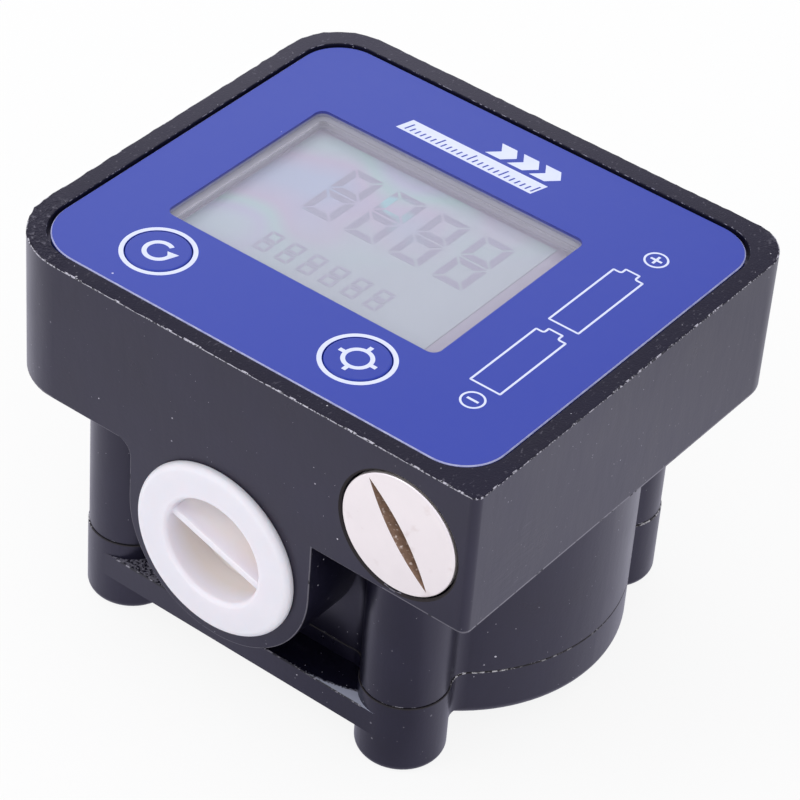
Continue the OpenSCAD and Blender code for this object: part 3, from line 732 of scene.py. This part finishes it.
# Painted highlight: a wedge of pale paint along the ledge's front edge, wider towards the right foot.
shine_width = 0.3 + ((ledge_x - 12) * 0.1).clipped() ** 2 * 2.1
inside_shine = shine_width - (ledge_y - LEDGE_FRONT) + (crust - 0.5) * 1.6
shine = (inside_shine * 2.5).clipped() * ((ledge_x - 6) * 0.15).clipped()
rough_end_and_highlight = (rough_end + shine).clipped()
rough_end_and_highlight_colour = ledge_paint_and_highlight.blend(shine, colour(120, 118, 130), colour(176, 180, 200))
ledge_paint_and_highlight.set(
    Base_Color=ledge_paint_and_highlight.blend(rough_end_and_highlight, ledge_paint_and_highlight.fed("Base Color"), rough_end_and_highlight_colour),
    Roughness=0.2 + rough_end * 0.5,
    Normal=ledge_paint_and_highlight.bump(crust * ((-12 - ledge_x) * 0.5).clipped(), 0.25),
)
# Painted highlight for the front edge of the ledge, made with the edge recipe.
ledge_highlight = edge_wear_and_highlight("ledge_edge_highlight", 0.46, 1.1, 122)
print("ledge paint ready")

# %% [markdown]
# The cover is a merged copy like the body. The front edge of its ledge gets a narrow bevel with a
# painted highlight, bright with dark notches, which ends before the ledge narrows into the feet,
# where it would fold.

# %% Cover casting
LEDGE_TOP = 10.6 * MM
LEDGE_END = 24.3
GAP, LEDGE, LEDGE_HIGHLIGHT = 1, 2, 3

cover = cad_copy(
    "cover_casting", "bottom_cover", [side_paint, joint_gap, ledge_paint_and_highlight, ledge_highlight],
    [("x", 1.7), ("y", 1.3), ("x", -LEDGE_END), ("x", LEDGE_END)],
)


def on_ledge_line(edge):
    """The front edge of the ledge's top, between the feet."""
    place = middle(edge)
    in_front = place.y < (LEDGE_FRONT + 0.35) * MM and abs(place.x) < LEDGE_END * MM
    return at_height(edge, LEDGE_TOP) and is_sharp(edge) and in_front


def on_ledge(face):
    """The level top of the ledge."""
    return face.normal.z > 0.9 and abs(face.center.z - LEDGE_TOP) < 5 * HAIR and face.center.y < 0


ledge_edges = wear(cover, on_ledge_line, 0.16, LEDGE_HIGHLIGHT, 1)
cover_edges = wear(cover, at_parting, 0.2, GAP)
paint_faces(cover, on_ledge, LEDGE)
smooth(cover)
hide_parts("bottom_cover")
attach(cover, "housing")
print("cover edges:", cover_edges, ledge_edges, "faces:", len(cover.data.polygons))

# %% [markdown]
# The panel is a thin sheet, printed blue from behind and satin in front, and its blue is painted
# lighter towards the back left as painted light. Its pale cut edge draws a fine line round it.
# Inside the window only the top of the sheet is blue.

# %% Finishes of the panel
PANEL_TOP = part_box("front_panel")[1].z
BLUE_SHEET = 0.6

panel_blue = Finish("panel_blue")
panel_x, panel_y = panel_blue.axes()[:2]
# Painted light: the blue is lighter towards the back left and darker towards the front right.
back_left_light = ((panel_x * 1.3 - panel_y * 0.6) / 110 + 0.5).clipped()
film = panel_blue.noise(1.6, detail=2)
panel_specks = (panel_blue.specks(6.5, 0.22, 0.10) + panel_blue.specks(2.2, 0.1, 0.05)).clipped()
blue_with_painted_light = panel_blue.blend(back_left_light, colour(39, 61, 164), colour(5, 44, 158))
panel_blue.set(
    Base_Color=panel_blue.blend(panel_specks, blue_with_painted_light, colour(200, 200, 228)),
    Roughness=0.34 + film * 0.08,
    Normal=panel_blue.bump(film, 0.004),
    IOR=1.46,
)
panel_edge = Finish("panel_cut_edge", Roughness=0.5)
edge_noise = panel_edge.noise(1.5, detail=3)
panel_edge.set(Base_Color=panel_edge.blend(edge_noise, colour(120, 128, 215), colour(226, 228, 250)))
window_edge = Finish("window_cut_edge", Roughness=0.35)
sheet_top = ((window_edge.axes()[2] - (PANEL_TOP / MM - BLUE_SHEET)) * 5).clipped()
sheet_grey = window_edge.blend(window_edge.noise(2), colour(134, 136, 160), colour(148, 148, 172))
window_edge.set(Base_Color=window_edge.blend(sheet_top, sheet_grey, colour(50, 58, 150)))
print("panel finishes ready")

# %% [markdown]
# The sheet is cut like the castings, through the window and the button holes. A narrow bevel
# round the outline takes the pale finish, and the walls of the window take the grey one.

# %% Front panel
CUT_EDGE, WINDOW_WALL = 1, 2
WINDOW_X, WINDOW_Y = (-31 * MM, 22 * MM), (-18.5 * MM, 20.5 * MM)
OUTLINE_X, OUTLINE_Y = 33 * MM, 29 * MM

panel = cad_copy(
    "panel_sheet", "front_panel", [panel_blue, panel_edge, window_edge],
    [("x", -23.1), ("x", 12.2), ("y", 1.2), ("y", -24.9)],
)


def on_outer_line(edge):
    """Edges of the sheet's outer outline."""
    place = middle(edge)
    past_holes = abs(place.x + 0.5 * MM) > OUTLINE_X or abs(place.y - 1.2 * MM) > OUTLINE_Y
    return past_holes and at_height(edge, PANEL_TOP) and is_sharp(edge) and faces_out(edge)


def in_window(face):
    """The upright walls of the window."""
    across = WINDOW_X[0] < face.center.x < WINDOW_X[1]
    return abs(face.normal.z) < 0.3 and across and WINDOW_Y[0] < face.center.y < WINDOW_Y[1]


panel_edges = wear(panel, on_outer_line, 0.18, CUT_EDGE, 1)
paint_faces(panel, in_window, WINDOW_WALL)
smooth(panel)
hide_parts("front_panel")
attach(panel, "housing")
print("panel edges:", panel_edges)

# %% [markdown]
# The prints are thin layers of white ink. They could be painted by a mask in the blue, but then
# they would have no edge to catch the light. So they start as flat primitives, are inset to a
# line's width, and get their thickness by one extrusion.

# %% Ink and flat shapes
INK = 0.03 * MM

white_ink = Finish("white_ink", Roughness=0.45)
white_ink.set(
    Base_Color=white_ink.blend(white_ink.noise(3, detail=3), colour(206, 214, 248), colour(224, 229, 252)),
    Normal=white_ink.bump(white_ink.noise(0.4), 0.004),
)


def settle(piece, name):
    """Moves a piece's place into its mesh and names it."""
    pick(piece)
    bpy.ops.object.transform_apply(location=True, rotation=True, scale=True)
    piece.name = name
    piece.data.name = name
    return piece


def plate(name, x, y, width, length, height, rows=1):
    """A flat rectangle round a place in mm, at a height in metres, cut into rows along Y."""
    place = (x * MM, y * MM, height)
    bpy.ops.mesh.primitive_grid_add(x_subdivisions=1, y_subdivisions=rows, size=1, location=place)
    piece = bpy.context.active_object
    piece.scale = (width * MM, length * MM, 1)
    return settle(piece, name)


def disc(name, x, y, radius, corners, height, turn=0.0):
    """A flat round face, or one with few corners, turned by an angle in degrees."""
    bpy.ops.mesh.primitive_circle_add(
        vertices=corners, radius=radius * MM, fill_type="NGON", location=(x * MM, y * MM, height),
        rotation=(0, 0, math.radians(turn)),
    )
    return settle(bpy.context.active_object, name)


def outline(piece, width_mm):
    """Keeps only a line along the border of a flat face."""
    edit(piece, "FACE", "SELECT")
    bpy.ops.mesh.inset(thickness=width_mm * MM)
    bpy.ops.mesh.delete(type="FACE")
    close()


def raise_ink(piece, height=INK):
    """Turns a flat shape into a thin layer and closes it."""
    edit(piece, "FACE", "SELECT")
    bpy.ops.mesh.extrude_region_move(TRANSFORM_OT_translate={"value": (0, 0, height)})
    bpy.ops.mesh.select_all(action="SELECT")
    bpy.ops.mesh.normals_make_consistent(inside=False)
    close()
    return piece


print("ink ready,", round(INK / MM, 2), "mm thick")

# %% [markdown]
# The marks are rings, bars and two outlines of a round cell. A cell's outline starts as a
# rectangle whose back edge is cut in four, and the middle part is drawn out as the nub.

# %% Rings, bars and cell marks
CELL_LINE, CELL_CORNER, NUB_WIDTH, NUB_LENGTH = 0.34, 0.25, 2.8, 1.2
CELL_X = (27.7, 33.3)


def ring(name, x, y, radius, width, height=PANEL_TOP):
    piece = disc(name, x, y, radius, 72, height)
    outline(piece, width)
    return raise_ink(piece)


def bar(name, x, y, length, width, height=PANEL_TOP):
    return raise_ink(plate(name, x, y, length, width, height))


def cell_mark(name, front, back):
    """Outline of a round cell seen from the side, with its nub at the back."""
    cell_middle = (CELL_X[0] + CELL_X[1]) / 2
    piece = plate(name, cell_middle, (front + back) / 2, CELL_X[1] - CELL_X[0], back - front, PANEL_TOP)

    def at_back(edge):
        return middle(edge).y > back * MM - HAIR

    def at_nub(edge):
        return at_back(edge) and abs(middle(edge).x - cell_middle * MM) < NUB_WIDTH / 2 * MM

    edit(piece, "EDGE")
    choose(piece, "EDGE", at_back)
    bpy.ops.mesh.subdivide(number_cuts=3)
    choose(piece, "EDGE", at_nub)
    bpy.ops.mesh.extrude_region_move(TRANSFORM_OT_translate={"value": (0, NUB_LENGTH * MM, 0)})
    bpy.ops.mesh.select_all(action="SELECT")
    bpy.ops.mesh.dissolve_limited(angle_limit=math.radians(1))
    bpy.ops.mesh.select_all(action="SELECT")
    bpy.ops.mesh.bevel(offset=CELL_CORNER * MM, segments=3, affect="VERTICES")
    close()
    outline(piece, CELL_LINE)
    return raise_ink(piece)


KEYS = {key: centre(f"{key}_button").xy / MM for key in ("reset", "cal")}
prints = [ring(f"{key}_ring_print", *place, 5.88, 0.72) for key, place in KEYS.items()]
prints += [
    cell_mark("cell_print_front", -18.5, -2.4),
    cell_mark("cell_print_rear", 0.4, 17.0),
    ring("minus_ring_print", 31.0, -21.9, 1.95, 0.34),
    bar("minus_bar_print", 31.0, -21.9, 2.0, 0.42),
    ring("plus_ring_print", 31.3, 23.0, 1.95, 0.34),
    bar("plus_bar_print", 31.3, 23.0, 2.0, 0.42),
    bar("plus_front_print", 31.3, 22.395, 0.42, 0.79),
    bar("plus_back_print", 31.3, 23.605, 0.42, 0.79),
]
print("marks:", len(prints))

# %% [markdown]
# Behind the window are a slanted tag with a ruled scale and three chevrons for the flow. All are
# rectangles cut into two rows, whose back and middle edges are pushed sideways.

# %% Tag and flow marks
TAG_LEFT, TAG_RIGHT, TAG_FRONT, TAG_BACK, TAG_LEAN = -18.6, 8.3, 23.7, 27.0, 0.9
TICKS, TICK_WIDTH, LONG_TICK, SHORT_TICK, TICKS_PER_LONG = 25, 0.26, 1.9, 1.1, 6
TICK_FOOT = TAG_FRONT + 0.5


def slanted(name, left, length, front, back, lean, point=0.0, height=PANEL_TOP):
    """A slanted bar, or a chevron if it has a point."""
    piece = plate(name, left + length / 2, (front + back) / 2, length, back - front, height, rows=2)
    for level_y, shift in ((back, lean), ((front + back) / 2, lean / 2 + point)):
        edit(piece, "VERT")
        choose(piece, "VERT", lambda v: abs(v.co.y - level_y * MM) < HAIR)
        bpy.ops.transform.translate(value=(shift * MM, 0, 0))
        close()
    return raise_ink(piece)


prints.append(slanted("tag_print", TAG_LEFT, TAG_RIGHT - TAG_LEAN - TAG_LEFT, TAG_FRONT, TAG_BACK, TAG_LEAN))
for index, start in enumerate((-4.3, -0.1, 4.1)):
    prints.append(slanted(f"flow_mark_{index + 1}", start, 2.9, 27.8, 31.5, 0.6, 1.5))
ticks = []
for index in range(TICKS):
    tick_x = TAG_LEFT + 1.2 + index * (TAG_RIGHT - TAG_LEFT - 2.6) / (TICKS - 1)
    tall = SHORT_TICK if index % TICKS_PER_LONG else LONG_TICK
    ticks.append(slanted(
        f"tag_tick_{index + 1}", tick_x, TICK_WIDTH, TICK_FOOT, TICK_FOOT + tall, 0.28 * tall,
        height=PANEL_TOP + INK,
    ))
for pieces, finish in ((prints, white_ink), (ticks, panel_blue)):
    for piece in pieces:
        piece.data.materials.append(finish.material)
        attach(piece, "housing")
print("prints:", len(prints), "ticks:", len(ticks))

# %% [markdown]
# The display is a glass about three millimetres below the panel, under a clear pane. The film on
# it throws weak rainbow colours at its back left corner, which a colour ramp over slow noise
# gives, and towards the front right it calms down to one grey.

# %% Display glass and film
GLASS_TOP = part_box("lcd_glass")[1].z
FILM = 0.08 * MM
RAINBOW = (
    (0.30, 170, 180, 206), (0.40, 184, 174, 198), (0.48, 168, 194, 196),
    (0.56, 180, 180, 206), (0.66, 172, 194, 198),
)


def refinish(finish, *names):
    """Gives CAD nodes one finish of their own."""
    for name in names:
        nodes[name].data.materials.clear()
        nodes[name].data.materials.append(finish.material)


glass = Finish("display_glass", Roughness=0.2, IOR=1.5)
glass.set(Base_Color=glass.blend(glass.noise(9), colour(160, 153, 172), colour(172, 165, 184)))
refinish(glass, "lcd_glass")

lcd = Finish("display_film", Roughness=0.22, IOR=1.5)
lcd_x, lcd_y = lcd.axes()[:2]
rainbow = lcd.node("ShaderNodeValToRGB", inputs={0: lcd.noise(24, detail=1)})
stops = rainbow.socket.node.color_ramp.elements
while len(stops) < len(RAINBOW):
    stops.new(0.5)
for stop, (place, *tone) in zip(stops, RAINBOW):
    stop.position = place
    stop.color = colour(*tone)
calm = ((lcd_x + 4) / 24 - (lcd_y - 2) / 26 + 0.5).clipped()
lcd.set(Base_Color=lcd.blend(calm, rainbow, colour(172, 180, 190)), Normal=lcd.bump(lcd.noise(8), 0.01))
film_sheet = raise_ink(plate("display_film", -6.2, 0.6, 46.0, 35.2, GLASS_TOP), FILM)
film_sheet.data.materials.append(lcd.material)
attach(film_sheet, "housing")
print("display glass at", round(GLASS_TOP / MM, 2), "mm")

# %% [markdown]
# The segments of the digits show faintly even when the meter is off, as mitred bars with fine
# gaps. Insetting each half of a two-row grid gives the seven bars, and a second inset the gaps.

# %% Digits
SEGMENT_GAP = 0.12

segment_grey = Finish("lcd_segment", Roughness=0.3)
segment_x = segment_grey.axes()[0]
cyan = ((segment_grey.noise(7, detail=1, seed=4.0) - 0.56) * 9).clipped() * ((2 - segment_x) / 12).clipped()
plain_grey = segment_grey.blend(segment_grey.noise(14), colour(150, 146, 166), colour(158, 158, 180))
segment_grey.set(Base_Color=segment_grey.blend(cyan, plain_grey, colour(150, 196, 204)))


def digit(name, left, front, width, height, stroke):
    """The seven segments of one digit, mitred at their corners."""
    piece = plate(name, left + width / 2, front + height / 2, width, height, GLASS_TOP + FILM, rows=2)
    edit(piece, "FACE", "SELECT")
    bpy.ops.mesh.inset(thickness=stroke * MM, use_individual=True)
    bpy.ops.mesh.delete(type="FACE")
    bpy.ops.mesh.select_all(action="SELECT")
    bpy.ops.mesh.inset(thickness=SEGMENT_GAP * stroke * MM, use_individual=True)
    bpy.ops.mesh.select_all(action="INVERT")
    bpy.ops.mesh.delete(type="FACE")
    close()
    raise_ink(piece, 2 * HAIR)
    piece.data.materials.append(segment_grey.material)
    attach(piece, "housing")


for index in range(4):
    digit(f"large_digit_{index + 1}", -18.7 + 8.35 * index, 0.1, 6.2, 14.0, 1.75)
for index in range(6):
    digit(f"small_digit_{index + 1}", -17.7 + 4.2 * index, -12.4, 2.8, 5.4, 0.75)
print("digits done")

# %% [markdown]
# The pane and the frame need no new shapes, only finishes. A thin haze with a few hairs shows that
# the clear pane is there. It is painted hazier and paler at the left and at the back, as painted light
# over the shade that the panel's overhang leaves on the frame below.

# %% Pane and frame
LIGHT_BORDER_LEFT, LIGHT_BORDER_BACK = -28.3, 17.8

pane = Finish("clear_pane", Base_Color=colour(214, 214, 228), Roughness=0.06, IOR=1.49)
haze = pane.noise(30, detail=1)
hair = pane.specks(4.5, 0.2, 0.12)
pane_x, pane_y = pane.axes()[:2]
# Painted light: the pane turns paler and less clear along its left and back edges.
painted_light_border = ((LIGHT_BORDER_LEFT - pane_x).clipped() + (pane_y - LIGHT_BORDER_BACK).clipped()).clipped()
pane.set(Alpha=(0.1 + haze * 0.08 + hair * 0.5 + painted_light_border * 0.4).clipped())
refinish(pane, "display_window")

frame_grey = Finish("frame_grey", Roughness=0.5)
frame_grey.set(
    Base_Color=frame_grey.blend(frame_grey.noise(10), colour(196, 190, 202), colour(208, 200, 212)),
    Normal=frame_grey.bump(frame_grey.noise(0.8), 0.003),
)
refinish(frame_grey, "lcd_frame")
print("pane and frame done")

# %% [markdown]
# The keys are flat film buttons, level with the panel. Each edge is rounded, so that it catches
# a dark crease on one side and light on the other.

# %% Keys
KEY_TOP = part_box("reset_button")[1].z
for key, body_name in (("reset", "reset_key"), ("cal", "cal_key")):
    piece = cad_copy(f"{key}_key_top", f"{key}_button", [panel_blue])
    wear(piece, lambda e: at_height(e, KEY_TOP) and is_sharp(e), 0.3, 0, 4)
    smooth(piece)
    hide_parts(f"{key}_button")
    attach(piece, body_name)
print("keys:", len(KEYS))

# %% [markdown]
# One key carries a turned arrow, and the other a ring with four short bars. The arrow is a ring
# with some faces taken out, where a triangle makes its head.

# %% Signs on the keys
SIGN_RADIUS, SIGN_BAR, BAR_LENGTH, BAR_REACH = 2.5, 0.7, 1.5, 2.6
SIGN_TOP = KEY_TOP + 0.5 * INK

x, y = KEYS["reset"]


def in_loop_gap(face):
    """The faces of the loop that make room for the arrow's head."""
    place = face.calc_center_median()
    return place.x > (x + 0.8) * MM and abs(place.y - (y + 0.9) * MM) < 0.9 * MM


loop = disc("reset_sign_loop", x, y, SIGN_RADIUS, 48, KEY_TOP)
outline(loop, 0.75)
edit(loop, "FACE")
choose(loop, "FACE", in_loop_gap)
bpy.ops.mesh.delete(type="FACE")
close()
raise_ink(loop)
head = raise_ink(disc("reset_sign_head", x + 2.2, y + 0.35, 1.15, 3, SIGN_TOP, turn=190))
signs = [(loop, "reset_key"), (head, "reset_key")]
x, y = KEYS["cal"]
signs.append((ring("cal_sign_ring", x, y, SIGN_RADIUS, SIGN_BAR, KEY_TOP), "cal_key"))
for side, across, along in (("left", -1, 0), ("right", 1, 0), ("front", 0, -1), ("back", 0, 1)):
    sides = (BAR_LENGTH, SIGN_BAR) if across else (SIGN_BAR, BAR_LENGTH)
    short_bar = bar(f"cal_sign_{side}", x + across * BAR_REACH, y + along * BAR_REACH, *sides, SIGN_TOP)
    signs.append((short_bar, "cal_key"))
for piece, body_name in signs:
    piece.data.materials.append(white_ink.material)
    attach(piece, body_name)
print("signs:", len(signs))

# %% [markdown]
# The port is closed by a white nylon cap. Light goes a little way into nylon, so the shader
# scatters it below the surface. Deep in its recess the cap looks warmer, and more so low down, where
# it is painted darker as painted shade, while high up it is painted lighter as painted light; two
# blends along Y and Z give this.

# %% Port cap
CAP_FACE, RECESS_FOOT, CAP_SEAT = -39.0, 29.5, -33 * MM

nylon = Finish(
    "white_nylon", Roughness=0.42, IOR=1.5,
    Subsurface_Weight=0.6, Subsurface_Radius=(1.0, 0.75, 0.7), Subsurface_Scale=0.003,
)
cap_y, cap_z = nylon.axes()[1:]
warm = ((cap_y - CAP_FACE) / 2.5).clipped()
# Painted light and shade: the recess is lighter high up and darker and warmer low down.
upper_light = ((cap_z - RECESS_FOOT) / 7).clipped()
face_white = nylon.blend(nylon.noise(7, detail=3), colour(234, 229, 239), colour(242, 236, 246))
recess_lit_and_shaded = nylon.blend(upper_light, colour(238, 228, 224), colour(253, 250, 252))
moulded_skin = nylon.bump(nylon.noise(0.5, detail=2), 0.006)
nylon.set(Base_Color=nylon.blend(warm, face_white, recess_lit_and_shaded), Normal=moulded_skin)
cap = cad_copy("cap_moulding", "port_cap", [nylon], [("x", 2.3), ("z", 33.1)])
cap_edges = wear(cap, lambda e: is_sharp(e, 50) and middle(e).y < CAP_SEAT, 0.2, 0, 3)
smooth(cap, 40)
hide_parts("port_cap")
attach(cap, "cap")
print("cap edges:", cap_edges)

# %% [markdown]
# The battery plug is turned brass with nickel plating, dull and a little stained. The faces in the
# saw slot across it are mottled brown. It is in the CAD shape already, so it only needs a second finish.

# %% Finishes of the battery plug
nickel = Finish("plug_nickel", IOR=1.5)
grain = nickel.noise(0.35, detail=3, rough=0.6)
rust = nickel.specks(2.6, 0.2, 0.2)
stain = ((nickel.noise(3.2, detail=3, seed=2.0) - 0.62) * 6).clipped() * 0.25
clean_nickel = nickel.blend(nickel.noise(5, detail=2), colour(247, 240, 235), colour(255, 248, 242))
nickel.set(
    Base_Color=nickel.blend((rust * 0.6 + stain).clipped(), clean_nickel, colour(178, 142, 122)),
    Metallic=0.75,
    Roughness=0.38 + grain * 0.14 + rust * 0.2,
    Normal=nickel.bump(grain, 0.012),
)
slot_brown = Finish("plug_slot_brown", Metallic=0.5)
slot_mottle = slot_brown.noise(0.9, detail=3, rough=0.6)
cut_marks = slot_brown.noise(0.5, detail=2, stretch=(0.3, 1, 1))
brown = slot_brown.blend(slot_mottle, colour(84, 62, 46), colour(168, 138, 114))
slot_brown.set(
    Base_Color=slot_brown.blend(((cut_marks - 0.6) * 6).clipped(), brown, colour(226, 212, 198)),
    Roughness=0.45 + slot_mottle * 0.2,
    Normal=slot_brown.bump(slot_mottle, 0.04),
)
print("plug finishes ready")

# %% [markdown]
# The plug is a merged copy of its node. The faces inside its slot are found by their place.

# %% Battery plug
PLUG_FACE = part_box("battery_plug")[0].y
SLOT_DEPTH, SLOT_REACH, PLUG_EDGE = 2.5 * MM, 9.3 * MM, 9.8 * MM

plug = cad_copy("plug_turned", "battery_plug", [nickel, slot_brown], [("x", 31.1), ("z", 53.9)])


def in_slot(face):
    """The floor and the walls of the saw slot."""
    deep = PLUG_FACE + 5 * HAIR < face.center.y < PLUG_FACE + SLOT_DEPTH
    return deep and from_plug(face.center) < SLOT_REACH


def on_plug_edge(edge):
    """The outer edge of the plug's face."""
    place = middle(edge)
    return is_sharp(edge) and place.y < PLUG_FACE + 5 * HAIR and from_plug(place) > PLUG_EDGE


paint_faces(plug, in_slot, 1)
plug_edges = wear(plug, on_plug_edge, 0.2, 0, 3)
smooth(plug)
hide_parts("battery_plug")
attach(plug, "plug")
print("plug edges:", plug_edges)

# %% [markdown]
# What is inside shows only when a piece comes out, but each part still gets its own finish. Two
# recipes are enough, one for bare metals and one for all that is moulded or coated.

# %% Inner parts


def metal(name, dark, light, roughness, grain_mm, stretch=(1, 1, 1)):
    """Bare or plated metal with a grain."""
    finish = Finish(name, Metallic=1.0)
    grain = finish.noise(grain_mm, detail=3, stretch=stretch)
    finish.set(
        Base_Color=finish.blend(grain, colour(*dark), colour(*light)),
        Roughness=roughness + (grain - 0.5) * 0.2,
        Normal=finish.bump(grain, 0.004),
    )
    return finish


def moulded(name, dark, light, roughness, grain_mm, depth_mm=0.01):
    """Plastic, rubber or a coat, slightly cloudy and with a fine grain."""
    finish = Finish(name)
    grain = finish.noise(grain_mm, detail=2)
    finish.set(
        Base_Color=finish.blend(finish.noise(grain_mm * 12, detail=3), colour(*dark), colour(*light)),
        Roughness=roughness + (grain - 0.5) * 0.1,
        Normal=finish.bump(grain, depth_mm),
    )
    return finish


INNER_PARTS = (
    (metal("zinc_plate", (150, 152, 158), (190, 192, 198), 0.35, 0.6),
     ("cover_screws", "screw_washers", "board_screws", "quartz_can")),
    (metal("ground_steel", (160, 162, 166), (200, 202, 206), 0.22, 0.3, (1, 1, 0.05)),
     ("gear_shafts", "battery_spring")),
    (metal("magnet_nickel", (176, 172, 168), (206, 202, 198), 0.2, 0.8), ("gear_magnets",)),
    (metal("contact_nickel", (190, 186, 178), (222, 218, 210), 0.25, 0.5), ("rear_contact",)),
    (moulded("gear_plastic", (62, 64, 70), (78, 80, 86), 0.5, 0.4), ("left_gear", "right_gear")),
    (moulded("carbon_bush", (34, 34, 36), (46, 46, 48), 0.45, 0.3), ("left_bush", "right_bush")),
    (moulded("seal_rubber", (20, 20, 21), (30, 30, 31), 0.75, 0.3, 0.02),
     ("chamber_seal", "panel_gasket", "contact_strips", "battery_plug_seal")),
    (moulded("board_green", (18, 74, 46), (24, 92, 58), 0.4, 0.5), ("circuit_board",)),
    (moulded("chip_black", (24, 24, 26), (34, 34, 36), 0.55, 0.2), ("controller_chip", "key_switches")),
    (moulded("sensor_glass", (120, 160, 150), (150, 184, 172), 0.12, 2.0, 0.002), ("pulse_sensor",)),
    (moulded("white_plastic", (226, 226, 222), (238, 238, 234), 0.4, 0.5), ("reset_plunger", "cal_plunger")),
    (moulded("sleeve_film", (150, 176, 204), (172, 194, 216), 0.35, 0.8), ("battery_sleeve",)),
    (moulded("cell_jacket", (168, 120, 34), (192, 142, 48), 0.3, 1.0), ("battery_front", "battery_rear")),
)
for finish, names in INNER_PARTS:
    refinish(finish, *names)
print("inner finishes:", len(INNER_PARTS))
